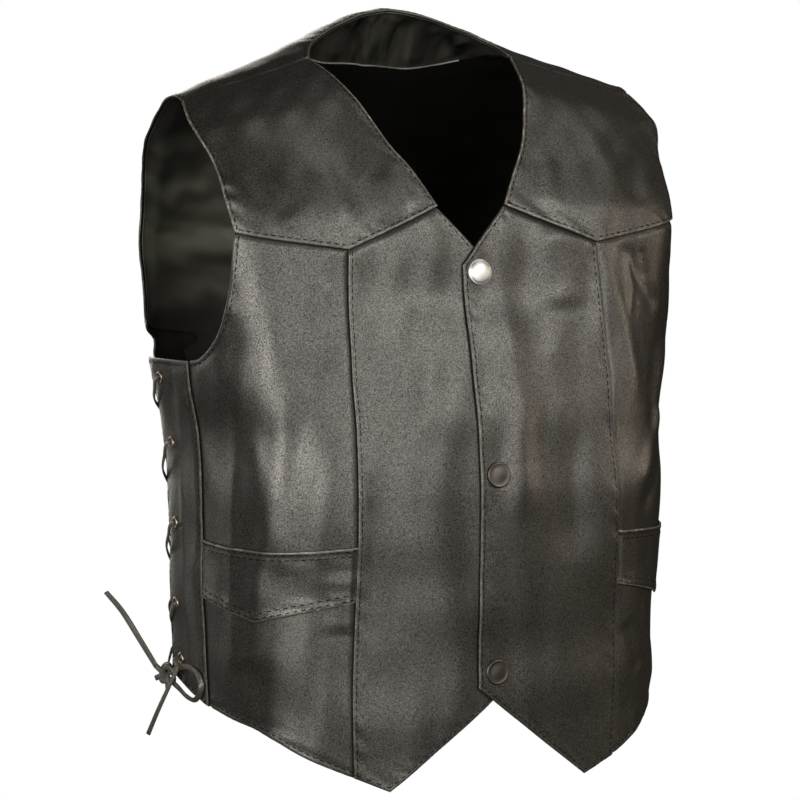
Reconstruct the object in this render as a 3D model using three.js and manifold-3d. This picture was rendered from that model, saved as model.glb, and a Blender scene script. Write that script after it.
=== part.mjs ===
// A leather vest with laced sides, hollow, in the form it takes when it is worn.
// Millimetres, +Z up. The front faces -Y and the wearer's left is +X.
// The origin lies midway between the neck ends of the two shoulder seams.
import * as THREE from "three";
import { mergeVertices } from "three/addons/utils/BufferGeometryUtils.js";
import Module from "manifold-3d";

const wasm = await Module();
wasm.setup();

// Driving dimensions
const leather = 1.8; // one panel's wall, skin and the lining behind it
const liningCloth = 1.0;
const bandLeather = 1.4;
const seamGap = 0.3; // each panel stays this far inside its seam line
const layGap = 0.3; // between a panel and what lies on it
const bandGap = 0.5;
const liningGap = 1.7; // the lining hangs this far behind the back
const yokeRise = 0.7; // the yoke is lapped over the panels below it
const yokeFade = 60; // its rise starts at the shoulder seam and is full this far down
const lapRise = 1.15; // the left front rises and the right one sinks where they overlap
const lapEdge = -10; // a front's own edge reaches this far past the centre line
const lapFade = { from: 14, to: 48 }; // where the rise of the overlap fades out
const neckPoint = 75; // half the distance between the neck ends of the shoulder seams
const shoulderTip = 168; // half the distance between their armhole ends
const underarm = -194;
const runOffset = 40; // below the underarm, run is the depth under the origin plus this
const laceSeamY = -22;
const stripEdge = { top: 42, bottom: 30 }; // depth of the strip's free edge
const laceGap = 15; // from there to the edge of the back
const sideFoot = -405; // lower end of the strips and of the back's sides
const hemSide = -421;
const hemTip = -471;
const hemBack = -414;
const backBunch = 1.4;
const snapCap = { radius: 8.5, rim: 1.0, dome: 3.0 };
const snapX = 2;
const snapHeights = [-138, -268, -397];
const eyelet = { bore: 2.75, barrel: 3.2, flange: 4.8, hole: 3.7, top: 0.95, bottom: -2.2 };
// The eyelets: height, and depth of the front and the back one
const eyeletRows = [
  { z: -208, front: 21, back: 68 },
  { z: -251, front: 18, back: 66 },
  { z: -304, front: 17, back: 63 },
  { z: -357, front: 16, back: 60 },
  { z: -394, front: 14, back: 58 },
];
const laceRadius = 1.3;
const laceRise = { outside: 3, inside: -4.8 }; // lace centre over the skin and behind it
const edgeMargin = 2; // the lace turns this far inside the edge it passes
const lacingSteps = 84;
const tailRadius = 1.5;
// The knot below the last eyelets, and what comes out of it, on the wearer's left
const knot = { place: [167.5, 26.5, -407], radius: 3.6, tube: 1.45, stretch: 1.15 };
const knotEnd = { radius: 1.2, shy: 0.7 }; // lace inside the knot, and how far it stops short
const knotStub = [170.5, 39, -410];
const laceToKnot = [[48, -398, 3.2], [38, -402, 4.6]];
const loopRoute = [
  [166.8, 17.3, -402.5],
  [163.8, 7.5, -398.2],
  [163.4, -6, -397.8],
  [162.8, -15.5, -400.8],
  [162.6, -20, -408],
  [162.8, -14.7, -414.8],
  [163, -7.8, -418.6],
  [163.6, 4.5, -417.4],
  [165, 13, -413.6],
  [166.6, 17.6, -411],
];
const upperTailRoute = [
  [171.3, 36.8, -401.5],
  [176, 51.8, -385.5],
  [182, 67, -367.9],
  [187, 81.7, -356.6],
];
const lowerTailRoute = [
  [168.8, 10, -400],
  [171.5, 15, -411],
  [173, 30, -430],
  [173, 46, -448.5],
];

// Colours
const blackLeather = { color: 0x2b2a27, roughness: 0.48, metalness: 0 };
const darkSatin = { color: 0x141614, roughness: 0.4, metalness: 0 };
const nickel = { color: 0x9a9691, roughness: 0.32, metalness: 1 };
const bronze = { color: 0x6d5a48, roughness: 0.35, metalness: 1 };
const thong = { color: 0x4b453f, roughness: 0.6, metalness: 0 };

// The form: horizontal sections, each a rounded oblong. run counts down the cloth from the shoulder
// seam. tilt drops the shoulder end of a section below its neck end. power squares its corners.
const bodySections = [
  { z: -194, width: 176.5, front: 104, back: 92, frontPower: 2.9, backPower: 3.2 },
  { z: -240, width: 169, front: 113, back: 89, frontPower: 2.9, backPower: 3.0 },
  { z: -283, width: 166.5, front: 118, back: 86, frontPower: 3.0, backPower: 2.9 },
  { z: -340, width: 164.5, front: 117, back: 87, frontPower: 2.8, backPower: 2.9 },
  { z: -400, width: 161.5, front: 115, back: 91, frontPower: 2.8, backPower: 2.9 },
  { z: -480, width: 160.5, front: 114, back: 95, frontPower: 2.7, backPower: 2.9 },
];
const chestSections = [
  { run: 0, z: 0, tilt: -26, width: 190, depth: 0, power: 4 },
  { run: 26, z: -13, tilt: -25, width: 189, depth: 23, power: 4 },
  { run: 49, z: -27, tilt: -20, width: 188, depth: 41, power: 4 },
  { run: 88, z: -57, tilt: -10, width: 183, depth: 63, power: 3.8 },
  { run: 111, z: -76, tilt: -5, width: 180, depth: 74.5, power: 4 },
  { run: 147, z: -107, tilt: 0, width: 179, depth: 86, power: 4.2 },
  { run: 187, z: -147, tilt: 0, width: 177.5, depth: 92, power: 3.6 },
];
const bladeSections = [
  { run: 0, z: 0, tilt: -26, width: 190, depth: 0, power: 6 },
  { run: 13, z: 5.5, tilt: -29, width: 189, depth: 12, power: 6 },
  { run: 25, z: 8, tilt: -34, width: 188, depth: 25, power: 6 },
  { run: 38, z: 6, tilt: -41, width: 187, depth: 40, power: 6 },
  { run: 54, z: -2, tilt: -44, width: 186, depth: 55, power: 6 },
  { run: 76, z: -22, tilt: -38, width: 185, depth: 70, power: 5.5 },
  { run: 106, z: -52, tilt: -26, width: 184, depth: 82, power: 5 },
  { run: 150, z: -105, tilt: -8, width: 182, depth: 90, power: 4.8 },
  { run: 190, z: -150, tilt: 0, width: 179, depth: 92, power: 4 },
];

const bodyRows = (depth, power) =>
  bodySections.map((row) => ({
    run: runOffset - row.z,
    z: row.z,
    tilt: 0,
    width: row.width,
    depth: row[depth],
    power: row[power],
  }));
const frontRows = [...chestSections, ...bodyRows("front", "frontPower")];
const backRows = [...bladeSections, ...bodyRows("back", "backPower")];

const runAt = (z) => runOffset - z;
const clamp01 = (value) => Math.min(1, Math.max(0, value));
const smooth = (value) => clamp01(value) ** 2 * (3 - 2 * clamp01(value));
const radians = (degrees) => (degrees * Math.PI) / 180;

// The slope of a column between two rows, flattened where the column turns back.
function slopeAt(rows, i, key) {
  const rise = (a, b) => (rows[b][key] - rows[a][key]) / (rows[b].run - rows[a].run);
  if (i === 0) return rise(0, 1);
  if (i === rows.length - 1) return rise(i - 1, i);
  const before = rise(i - 1, i);
  const after = rise(i, i + 1);
  if (before * after <= 0) return 0;
  return (2 * before * after) / (before + after);
}

// All columns of a table at any run, on smooth curves through its rows.
function rowAt(rows, run) {
  let i = 0;
  while (i < rows.length - 2 && rows[i + 1].run < run) i += 1;
  const span = rows[i + 1].run - rows[i].run;
  const t = clamp01((run - rows[i].run) / span);
  const row = {};
  for (const key of ["z", "tilt", "width", "depth", "power"]) {
    const start = rows[i][key];
    const end = rows[i + 1][key];
    row[key] =
      start * (1 + 2 * t) * (1 - t) ** 2 +
      slopeAt(rows, i, key) * span * t * (1 - t) ** 2 +
      end * t * t * (3 - 2 * t) -
      slopeAt(rows, i + 1, key) * span * t * t * (1 - t);
  }
  return row;
}

// How far a point has gone from the neck end (0) to the armhole end (1) of the shoulder.
function shoulderShare(x) {
  const soft = (value) => Math.hypot(value, 25);
  return (soft(x) - soft(neckPoint)) / (soft(shoulderTip) - soft(neckPoint));
}

// A point of the form. angle is 0 at the centre front, 90 at the side, 180 at the centre back, and
// negative or over 180 on the wearer's right.
function formPoint(angle, run) {
  const wrapped = angle > 180 ? angle - 360 : angle;
  const turn = radians(Math.abs(wrapped));
  const row = rowAt(turn <= Math.PI / 2 ? frontRows : backRows, run);
  const across = Math.sin(turn);
  const ahead = Math.cos(turn);
  const reach = (across ** row.power + Math.abs(ahead) ** row.power) ** (-1 / row.power);
  const x = Math.sign(wrapped) * row.width * reach * across;
  return new THREE.Vector3(x, -row.depth * reach * ahead, row.z + row.tilt * shoulderShare(x));
}

function formNormal(angle, run) {
  const step = 0.2;
  const around = formPoint(angle + step, run).sub(formPoint(angle - step, run));
  const low = Math.max(run, step);
  const down = formPoint(angle, low + step).sub(formPoint(angle, low - step));
  return down.cross(around).normalize();
}

const lifted = (angle, run, lift) =>
  formPoint(angle, run).addScaledVector(formNormal(angle, run), lift);

// The angle at which a section passes a given x or y, on the wearer's left.
function frontX(x, run) {
  const row = rowAt(frontRows, run);
  const share = x / row.width;
  const rest = (1 - Math.abs(share) ** row.power) ** (1 / row.power);
  return new THREE.Vector2(THREE.MathUtils.radToDeg(Math.atan2(share, rest)), run);
}

function backX(x, run) {
  const row = rowAt(backRows, run);
  const share = x / row.width;
  const rest = (1 - Math.abs(share) ** row.power) ** (1 / row.power);
  return new THREE.Vector2(180 - THREE.MathUtils.radToDeg(Math.atan2(share, rest)), run);
}

function sideY(y, run) {
  const row = rowAt(y < 0 ? frontRows : backRows, run);
  const share = -y / row.depth;
  const rest = (1 - Math.abs(share) ** row.power) ** (1 / row.power);
  return new THREE.Vector2(THREE.MathUtils.radToDeg(Math.atan2(rest, share)), run);
}

// Seam lines, as curves over angle and run, all for the wearer's left.
const line = (start, end) => new THREE.LineCurve(start, end);

function spline(points) {
  const curve = new THREE.SplineCurve(points);
  return { getPoint: (t) => curve.getPointAt(t) };
}

// Two curves end to end, with the corner between them at split.
function joined(split, first, second) {
  return {
    getPoint: (t) =>
      t < split ? first.getPoint(t / split) : second.getPoint((t - split) / (1 - split)),
  };
}

const corners = {
  neck: frontX(neckPoint, layGap),
  tip: frontX(shoulderTip, layGap),
  yokeNeck: frontX(24.7, 134),
  yokePoint: frontX(91, runAt(-121)),
  yokeArm: frontX(162.4, runAt(-109)),
  lapTop: frontX(lapEdge, runAt(-133)),
  lapFoot: frontX(lapEdge - 2, runAt(-407)),
  underarmFront: sideY(laceSeamY, runAt(underarm)),
  stripTop: sideY(stripEdge.top, runAt(underarm - 2)),
  hemPoint: frontX(73, runAt(hemTip)),
  hemPrincess: frontX(96, runAt(-461)),
  hemSeam: sideY(laceSeamY, runAt(hemSide)),
  hemStrip: sideY(stripEdge.bottom, runAt(sideFoot)),
};

const seams = {
  shoulder: line(corners.neck, corners.tip),
  neckFront: spline([
    corners.neck,
    frontX(69, 24),
    frontX(62.6, 49),
    frontX(49.5, 88),
    frontX(36.5, 111),
    corners.yokeNeck,
  ]),
  armYoke: spline([
    corners.tip,
    frontX(171.7, 27),
    frontX(169.5, 68),
    frontX(165.5, 112),
    corners.yokeArm,
  ]),
  armSide: spline([
    corners.yokeArm,
    frontX(164.6, 187),
    frontX(168.5, 214),
    sideY(-38, 230),
    corners.underarmFront,
  ]),
  lapTop: line(corners.lapTop, corners.yokeNeck),
  yokeInner: line(corners.yokeNeck, corners.yokePoint),
  yokeOuter: line(corners.yokePoint, corners.yokeArm),
  lap: line(corners.lapTop, corners.lapFoot),
  princess: spline([
    corners.yokePoint,
    frontX(94, 228),
    frontX(95.2, 294),
    frontX(96, 350),
    frontX(97.5, 440),
    corners.hemPrincess,
  ]),
  laceSeam: sideCurve([laceSeamY, underarm], [laceSeamY, hemSide]),
  stripEdge: sideCurve([stripEdge.top, underarm - 2], [stripEdge.bottom, sideFoot]),
  hemCentre: line(corners.lapFoot, corners.hemPoint),
  hemPoint: line(corners.hemPoint, corners.hemPrincess),
  hemSide: spline([
    corners.hemPrincess,
    frontX(124, runAt(-447)),
    frontX(140, runAt(-434.5)),
    frontX(150, runAt(-426)),
    frontX(157, runAt(-421.5)),
    corners.hemSeam,
  ]),
};

// A line down the side between two places, each a depth and a height.
function sideCurve([topY, topZ], [bottomY, bottomZ]) {
  const points = [];
  for (let i = 0; i <= 6; i += 1) {
    const y = THREE.MathUtils.lerp(topY, bottomY, i / 6);
    points.push(sideY(y, runAt(THREE.MathUtils.lerp(topZ, bottomZ, i / 6))));
  }
  return spline(points);
}

// The left half of the back: its neck, and its armhole as run and half width.
const backNeck = [backX(neckPoint, 0), backX(64, 17), backX(38, 28), backX(0, 33)];
const backArm = [
  { run: 0, x: shoulderTip },
  { run: 30, x: 169 },
  { run: 60, x: 168.5 },
  { run: 100, x: 166 },
  { run: 149, x: 165.5 },
  { run: 198, x: 169.5 },
  { run: 215, x: 171.5 },
];

// Fills a four-sided outline: s runs from inner to outer, t from top to bottom.
function patch({ top, bottom, inner, outer }) {
  return (s, t) => {
    const point = new THREE.Vector2();
    point.addScaledVector(inner.getPoint(t), 1 - s);
    point.addScaledVector(outer.getPoint(t), s);
    point.addScaledVector(top.getPoint(s), 1 - t);
    point.addScaledVector(bottom.getPoint(s), t);
    point.addScaledVector(top.getPoint(0), -(1 - s) * (1 - t));
    point.addScaledVector(top.getPoint(1), -s * (1 - t));
    point.addScaledVector(bottom.getPoint(0), -(1 - s) * t);
    point.addScaledVector(bottom.getPoint(1), -s * t);
    return point;
  };
}

// Closes a grid of outer points and the inner points behind it into one solid.
function wallGeometry(outer, inner) {
  const down = outer.length - 1;
  const across = outer[0].length - 1;
  const count = (down + 1) * (across + 1);
  const position = [...outer.flat(), ...inner.flat()].flatMap((point) => point.toArray());
  const at = (i, j, layer) => layer * count + i * (across + 1) + j;
  const index = [];
  const quad = (a, b, c, d) => index.push(a, b, c, a, c, d);
  for (let i = 0; i < down; i += 1) {
    for (let j = 0; j < across; j += 1) {
      quad(at(i, j, 0), at(i + 1, j, 0), at(i + 1, j + 1, 0), at(i, j + 1, 0));
      quad(at(i, j, 1), at(i, j + 1, 1), at(i + 1, j + 1, 1), at(i + 1, j, 1));
    }
    quad(at(i, 0, 0), at(i, 0, 1), at(i + 1, 0, 1), at(i + 1, 0, 0));
    quad(at(i, across, 0), at(i + 1, across, 0), at(i + 1, across, 1), at(i, across, 1));
  }
  for (let j = 0; j < across; j += 1) {
    quad(at(0, j, 0), at(0, j + 1, 0), at(0, j + 1, 1), at(0, j, 1));
    quad(at(down, j, 0), at(down, j, 1), at(down, j + 1, 1), at(down, j + 1, 0));
  }
  return geometryOf(position, index);
}

// A geometry whose faces point out, whichever way its grid was wound.
function geometryOf(position, index) {
  const corner = (k) => new THREE.Vector3().fromArray(position, 3 * index[k]);
  let volume = 0;
  for (let k = 0; k < index.length; k += 3) {
    volume += corner(k).dot(corner(k + 1).cross(corner(k + 2)));
  }
  if (volume < 0) {
    for (let k = 0; k < index.length; k += 3) {
      [index[k + 1], index[k + 2]] = [index[k + 2], index[k + 1]];
    }
  }
  const geometry = new THREE.BufferGeometry();
  geometry.setAttribute("position", new THREE.Float32BufferAttribute(position, 3));
  geometry.setIndex(index);
  geometry.computeVertexNormals();
  return geometry;
}

// One cut piece: side is 1 on the wearer's left and -1 on the right. bunch over 1 draws the rows
// up to the top edge.
function panelGeometry(sides, options) {
  const { across, down, thick = leather, lift = () => 0, side = 1, bunch = 1 } = options;
  const place = patch(sides);
  const middle = [place(0, 0.5), place(1, 0.5), place(0.5, 0), place(0.5, 1)].map((point) =>
    formPoint(point.x, point.y),
  );
  const trimS = seamGap / middle[0].distanceTo(middle[1]);
  const trimT = seamGap / middle[2].distanceTo(middle[3]);
  const trimmed = (value, trim) => Math.min(1 - trim, Math.max(trim, value));
  const outer = [];
  const inner = [];
  for (let i = 0; i <= down; i += 1) {
    const t = trimmed((i / down) ** bunch, trimT);
    outer.push([]);
    inner.push([]);
    for (let j = 0; j <= across; j += 1) {
      const spot = place(trimmed(j / across, trimS), t);
      const rise = lift(spot.x, spot.y);
      outer[i].push(lifted(spot.x, spot.y, rise));
      inner[i].push(lifted(spot.x, spot.y, rise - thick));
    }
  }
  for (const point of [...outer.flat(), ...inner.flat()]) point.x *= side;
  return wallGeometry(outer, inner);
}

// Manifold solids, for cutting the eyelet holes.
function solidOf(geometry) {
  const bare = geometry.clone();
  bare.deleteAttribute("normal");
  bare.deleteAttribute("uv");
  const merged = mergeVertices(bare, 1e-4);
  return new wasm.Manifold(
    new wasm.Mesh({
      numProp: 3,
      vertProperties: merged.attributes.position.array,
      triVerts: new Uint32Array(merged.index.array),
    }),
  );
}

function geometryFrom(solid) {
  const mesh = solid.getMesh();
  const geometry = new THREE.BufferGeometry();
  geometry.setAttribute("position", new THREE.BufferAttribute(mesh.vertProperties, 3));
  geometry.setIndex(new THREE.BufferAttribute(mesh.triVerts, 1));
  geometry.computeVertexNormals();
  return geometry;
}

// Where an eyelet sits, and the turn that points its axis out of the cloth.
function eyeletSpot(y, z, side) {
  const spot = sideY(y, runAt(z));
  const point = formPoint(spot.x, spot.y);
  const normal = formNormal(spot.x, spot.y);
  point.x *= side;
  normal.x *= side;
  const turn = new THREE.Quaternion().setFromUnitVectors(new THREE.Vector3(0, 1, 0), normal);
  return { point, turn };
}

function cutEyelets(geometry, spots) {
  let solid = solidOf(geometry);
  for (const { point, turn } of spots) {
    const drill = new THREE.CylinderGeometry(eyelet.hole, eyelet.hole, 14, 8);
    drill.applyQuaternion(turn);
    drill.translate(point.x, point.y, point.z);
    solid = solid.subtract(solidOf(drill));
  }
  return geometryFrom(solid);
}

const vest = new THREE.Group();
function addMesh(name, geometry, finish) {
  const mesh = new THREE.Mesh(geometry, new THREE.MeshStandardMaterial(finish));
  mesh.name = name;
  vest.add(mesh);
  return mesh;
}

// Fronts: yoke, centre front and side front of each side.
const overlapFade = (angle, run) => {
  const x = formPoint(angle, run).x;
  return 1 - smooth((x - lapFade.from) / (lapFade.to - lapFade.from));
};

function addFronts(label, side) {
  const lap = side * lapRise;
  addMesh(
    "front_yoke_" + label,
    panelGeometry(
      {
        top: seams.shoulder,
        bottom: joined(1 / 2, seams.yokeInner, seams.yokeOuter),
        inner: seams.neckFront,
        outer: seams.armYoke,
      },
      { across: 12, down: 8, side, lift: (angle, run) => yokeRise * smooth(run / yokeFade) },
    ),
    blackLeather,
  );
  addMesh(
    "centre_front_" + label,
    panelGeometry(
      {
        top: joined(3 / 10, seams.lapTop, seams.yokeInner),
        bottom: joined(8 / 10, seams.hemCentre, seams.hemPoint),
        inner: seams.lap,
        outer: seams.princess,
      },
      { across: 10, down: 16, side, lift: (angle, run) => lap * overlapFade(angle, run) },
    ),
    blackLeather,
  );
  addMesh(
    "side_front_" + label,
    panelGeometry(
      {
        top: seams.yokeOuter,
        bottom: seams.hemSide,
        inner: seams.princess,
        outer: joined(5 / 18, seams.armSide, seams.laceSeam),
      },
      { across: 11, down: 18, side },
    ),
    blackLeather,
  );
}

// The pocket band lies on the side front, sewn into the seams at both ends.
function addPocketBand(label, side) {
  const top = spline([
    frontX(96, runAt(-310)),
    frontX(146, runAt(-313)),
    sideY(laceSeamY, runAt(-310.5)),
  ]);
  const point = frontX(148.5, runAt(-360));
  const bottom = joined(
    4 / 9,
    line(frontX(96.6, runAt(-346)), point),
    line(point, sideY(laceSeamY, runAt(-347))),
  );
  const inner = line(top.getPoint(0), bottom.getPoint(0));
  const outer = line(top.getPoint(1), bottom.getPoint(1));
  const geometry = panelGeometry(
    { top, bottom, inner, outer },
    { across: 9, down: 3, side, thick: bandLeather, lift: () => bandLeather + bandGap },
  );
  addMesh("pocket_band_" + label, geometry, blackLeather);
}

// The strip that carries the front row of eyelets, set on behind the side front.
function addLaceStrip(label, side) {
  const top = line(corners.underarmFront, corners.stripTop);
  const bottom = line(corners.hemSeam, corners.hemStrip);
  const geometry = panelGeometry(
    { top, bottom, inner: seams.laceSeam, outer: seams.stripEdge },
    { across: 4, down: 12, side },
  );
  const spots = eyeletRows.map((row) => eyeletSpot(row.front, row.z, side));
  addMesh("lace_strip_" + label, cutEyelets(geometry, spots), blackLeather);
}

// The same curve on the wearer's right.
function mirrored(curve) {
  return {
    getPoint: (t) => {
      const point = curve.getPoint(t);
      return new THREE.Vector2(360 - point.x, point.y);
    },
  };
}

// A left curve that ends at the centre back, and its mirror, as one: s = 0 is the wearer's left.
function acrossBack(curve) {
  const far = mirrored(curve);
  return { getPoint: (s) => (s <= 0.5 ? curve.getPoint(2 * s) : far.getPoint(2 - 2 * s)) };
}

// The back's sides and hem, drawn in by armInset at the armhole and by sideInset below it. Its
// rows are bunched to the top, so the corner under the arm falls on one of them.
function backOutline({ armInset, sideInset, split, rise }) {
  const inset = laceGap + sideInset;
  const edge = sideCurve(
    [stripEdge.top + inset, underarm - 2],
    [stripEdge.bottom + inset, sideFoot + rise],
  );
  const arm = backArm.map(({ run, x }) => backX(x - armInset, run));
  arm.push(sideY(stripEdge.top + inset + 5, runAt(underarm + 8)), edge.getPoint(0));
  const left = joined(split, spline(arm), edge);
  const hem = spline([
    edge.getPoint(1),
    backX(110, runAt(hemBack + rise + 2)),
    backX(0, runAt(hemBack + rise)),
  ]);
  return { left, right: mirrored(left), hem };
}

function addBack() {
  const split = (12 / 20) ** backBunch;
  const { left, right, hem } = backOutline({ armInset: 0, sideInset: 0, split, rise: 0 });
  const shoulder = line(backX(shoulderTip, 0), backX(neckPoint, 0));
  const top = acrossBack(joined(1 / 2, shoulder, spline(backNeck)));
  const sides = { top, bottom: acrossBack(hem), inner: left, outer: right };
  const geometry = panelGeometry(sides, { across: 24, down: 20, bunch: backBunch });
  const spots = [1, -1].flatMap((side) =>
    eyeletRows.map((row) => eyeletSpot(row.back, row.z, side)),
  );
  addMesh("back", cutEyelets(geometry, spots), blackLeather);
}

// The facing lines the back neck, and the lining hangs below it.
const facingFoot = [backX(97, 0), backX(88, 25), backX(64, 54), backX(34, 74), backX(0, 82)];

function addBackLining() {
  const settings = { bunch: backBunch, thick: liningCloth, lift: () => -leather - liningGap };
  const end = line(backX(neckPoint, 0), facingFoot[0]);
  const facing = panelGeometry(
    {
      top: acrossBack(spline(backNeck)),
      bottom: acrossBack(spline(facingFoot)),
      inner: end,
      outer: mirrored(end),
    },
    { ...settings, across: 16, down: 7, bunch: 1 },
  );
  addMesh("back_neck_facing", facing, darkSatin);

  const split = (6 / 10) ** backBunch;
  const insets = { armInset: 3, sideInset: 21 };
  const { left, right, hem } = backOutline({ ...insets, split, rise: 10 });
  const shoulder = line(left.getPoint(0), facingFoot[0]);
  const top = acrossBack(joined(1 / 3, shoulder, spline(facingFoot)));
  const lining = panelGeometry(
    { top, bottom: acrossBack(hem), inner: left, outer: right },
    { ...settings, across: 24, down: 10 },
  );
  addMesh("back_lining", lining, darkSatin);
}

// Snap caps down the left front.
function addSnaps() {
  const { radius, rim, dome } = snapCap;
  const profile = [new THREE.Vector2(0, 0), new THREE.Vector2(radius - 0.6, 0)];
  profile.push(new THREE.Vector2(radius, rim / 2), new THREE.Vector2(radius - 0.25, rim));
  for (const share of [0.8, 0.5]) {
    const height = rim + (dome - rim) * Math.sqrt(1 - share * share);
    profile.push(new THREE.Vector2(radius * share, height));
  }
  profile.push(new THREE.Vector2(0, dome));
  snapHeights.forEach((z, i) => {
    const spot = frontX(snapX, runAt(z));
    const cap = new THREE.LatheGeometry(profile, 14);
    const normal = formNormal(spot.x, spot.y);
    const mesh = addMesh("snap_cap_" + (i + 1), cap, nickel);
    mesh.quaternion.setFromUnitVectors(new THREE.Vector3(0, 1, 0), normal);
    mesh.position.copy(lifted(spot.x, spot.y, lapRise + layGap + 0.1));
  });
}

// Eyelets: a flanged ring in each hole of the strips and of the back.
function addEyelets(label, side) {
  const profile = [
    [eyelet.bore, eyelet.bottom],
    [eyelet.barrel, eyelet.bottom],
    [eyelet.barrel, layGap],
    [eyelet.flange, layGap],
    [eyelet.bore, eyelet.top],
    [eyelet.bore, eyelet.bottom],
  ].map(([radius, height]) => new THREE.Vector2(radius, height));
  for (const edge of ["front", "back"]) {
    eyeletRows.forEach((row, i) => {
      const { point, turn } = eyeletSpot(row[edge], row.z, side);
      const ring = new THREE.LatheGeometry(profile, 8);
      const mesh = addMesh(["eyelet", edge, label, i + 1].join("_"), ring, bronze);
      mesh.position.copy(point);
      mesh.quaternion.copy(turn);
    });
  }
}

// The lacing. Its route is a list of places: y on the side, height, and rise over the skin.
function sidePlace([y, z, rise], side) {
  const spot = sideY(y, runAt(z));
  const point = lifted(spot.x, spot.y, rise);
  point.x *= side;
  return point;
}

const stripEdgeAt = (z) =>
  THREE.MathUtils.mapLinear(z, underarm - 2, sideFoot, stripEdge.top, stripEdge.bottom);

// One strand: out of an eyelet, over the gap, under the far edge and up through the next eyelet.
function strand(startsInFront) {
  const route = [];
  eyeletRows.forEach((row, i) => {
    const inFront = startsInFront === (i % 2 === 0);
    const near = inFront ? row.front : row.back;
    route.push([near, row.z, laceRise.inside], [near, row.z, laceRise.outside]);
    if (i === eyeletRows.length - 1) return;
    const next = eyeletRows[i + 1];
    const far = inFront ? next.back : next.front;
    const front = stripEdgeAt((row.z + next.z) / 2) - edgeMargin;
    const back = front + laceGap + 2 * edgeMargin;
    const [nearEdge, farEdge] = inFront ? [front, back] : [back, front];
    const zAt = (y) => THREE.MathUtils.mapLinear(y, near, far, row.z, next.z);
    const midway = (near + nearEdge) / 2;
    route.push([midway, zAt(midway), laceRise.outside + 0.4]);
    route.push([nearEdge, zAt(nearEdge), laceRise.outside]);
    route.push([farEdge, zAt(farEdge), laceRise.inside]);
  });
  return route;
}

function tubeGeometry(points, { radius, sides, steps }) {
  const section = new THREE.Shape();
  for (let i = 0; i < sides; i += 1) {
    const angle = (2 * Math.PI * i) / sides;
    const x = radius * Math.cos(angle);
    const y = radius * Math.sin(angle);
    if (i === 0) section.moveTo(x, y);
    else section.lineTo(x, y);
  }
  section.closePath();
  const path = new THREE.CatmullRomCurve3(points, false, "centripetal");
  const settings = { steps, extrudePath: path, bevelEnabled: false };
  return new THREE.ExtrudeGeometry(section, settings);
}

function addLacing(label, side) {
  const fromFront = strand(true);
  const fromBack = strand(false);
  const topBar = [[45, eyeletRows[0].z + 1, laceRise.inside - 0.6]];
  const whole = [...fromFront.reverse(), ...topBar, ...fromBack, ...laceToKnot];
  const points = whole.map((place) => sidePlace(place, side));
  const round = { radius: laceRadius, sides: 6, steps: lacingSteps };
  addMesh("lacing_" + label, tubeGeometry(points, round), thong);
}

// The knot, the loop drawn through it and the two free tails.
function addKnot(label, side) {
  const place = ([x, y, z]) => new THREE.Vector3(x * side, y, z);
  const centre = place(knot.place);
  const wraps = new THREE.TorusKnotGeometry(knot.radius, knot.tube, 30, 6, 2, 3);
  wraps.scale(knot.stretch, 1, 1);
  wraps.rotateY(Math.PI / 2);
  wraps.translate(...centre);
  let lump = solidOf(wraps);
  const ends = [knotStub, loopRoute[0], loopRoute[loopRoute.length - 1], upperTailRoute[0]];
  const meets = ends.map(place).concat(sidePlace(laceToKnot[1], side));
  for (const end of meets) {
    const reach = end.clone().sub(centre);
    end.addScaledVector(reach.normalize(), -knotEnd.shy);
    const round = { radius: knotEnd.radius, sides: 6, steps: 1 };
    lump = lump.add(solidOf(tubeGeometry([centre, end], round)));
  }
  addMesh("knot_" + label, geometryFrom(lump), thong);

  const round = { radius: tailRadius, sides: 8 };
  const last = eyeletRows[eyeletRows.length - 1];
  const exit = [laceRise.outside + layGap, laceRise.outside + 3].map((rise) =>
    sidePlace([last.front, last.z, rise], side),
  );
  const cords = {
    lace_loop: { points: loopRoute.map(place), steps: 18 },
    lace_tail_upper: { points: upperTailRoute.map(place), steps: 9 },
    lace_tail_lower: { points: [...exit, ...lowerTailRoute.map(place)], steps: 12 },
  };
  for (const [name, { points, steps }] of Object.entries(cords)) {
    addMesh(name + "_" + label, tubeGeometry(points, { ...round, steps }), thong);
  }
}

addFronts("left", 1);
addFronts("right", -1);
addPocketBand("left", 1);
addPocketBand("right", -1);
addLaceStrip("left", 1);
addLaceStrip("right", -1);
addBack();
addBackLining();
addSnaps();
addEyelets("left", 1);
addEyelets("right", -1);
addLacing("left", 1);
addLacing("right", -1);
addKnot("left", 1);
addKnot("right", -1);

export default vest;
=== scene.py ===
import math
import bmesh
import bpy
import numpy as np
from mathutils import Matrix, Vector
from mathutils.bvhtree import BVHTree
from mathutils.kdtree import KDTree


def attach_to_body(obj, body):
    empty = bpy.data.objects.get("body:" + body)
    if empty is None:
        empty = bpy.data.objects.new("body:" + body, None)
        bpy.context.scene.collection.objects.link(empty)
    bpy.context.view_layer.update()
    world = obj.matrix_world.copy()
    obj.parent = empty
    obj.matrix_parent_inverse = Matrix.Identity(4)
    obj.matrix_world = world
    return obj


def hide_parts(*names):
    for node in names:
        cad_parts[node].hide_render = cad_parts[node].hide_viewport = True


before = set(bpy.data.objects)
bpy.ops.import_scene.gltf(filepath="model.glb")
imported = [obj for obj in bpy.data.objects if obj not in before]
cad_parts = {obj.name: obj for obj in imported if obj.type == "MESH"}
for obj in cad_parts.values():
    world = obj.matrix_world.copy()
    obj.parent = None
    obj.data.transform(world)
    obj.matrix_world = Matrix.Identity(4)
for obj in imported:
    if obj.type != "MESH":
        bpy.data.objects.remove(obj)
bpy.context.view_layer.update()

# A leather vest with laced sides. Sizes are in millimetres and become metres where a mesh is made.
# The front faces -Y, the wearer's left is +X, and the origin lies between the shoulder seams.
mm = 0.001
sides = {"Left": 1, "Right": -1}
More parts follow.
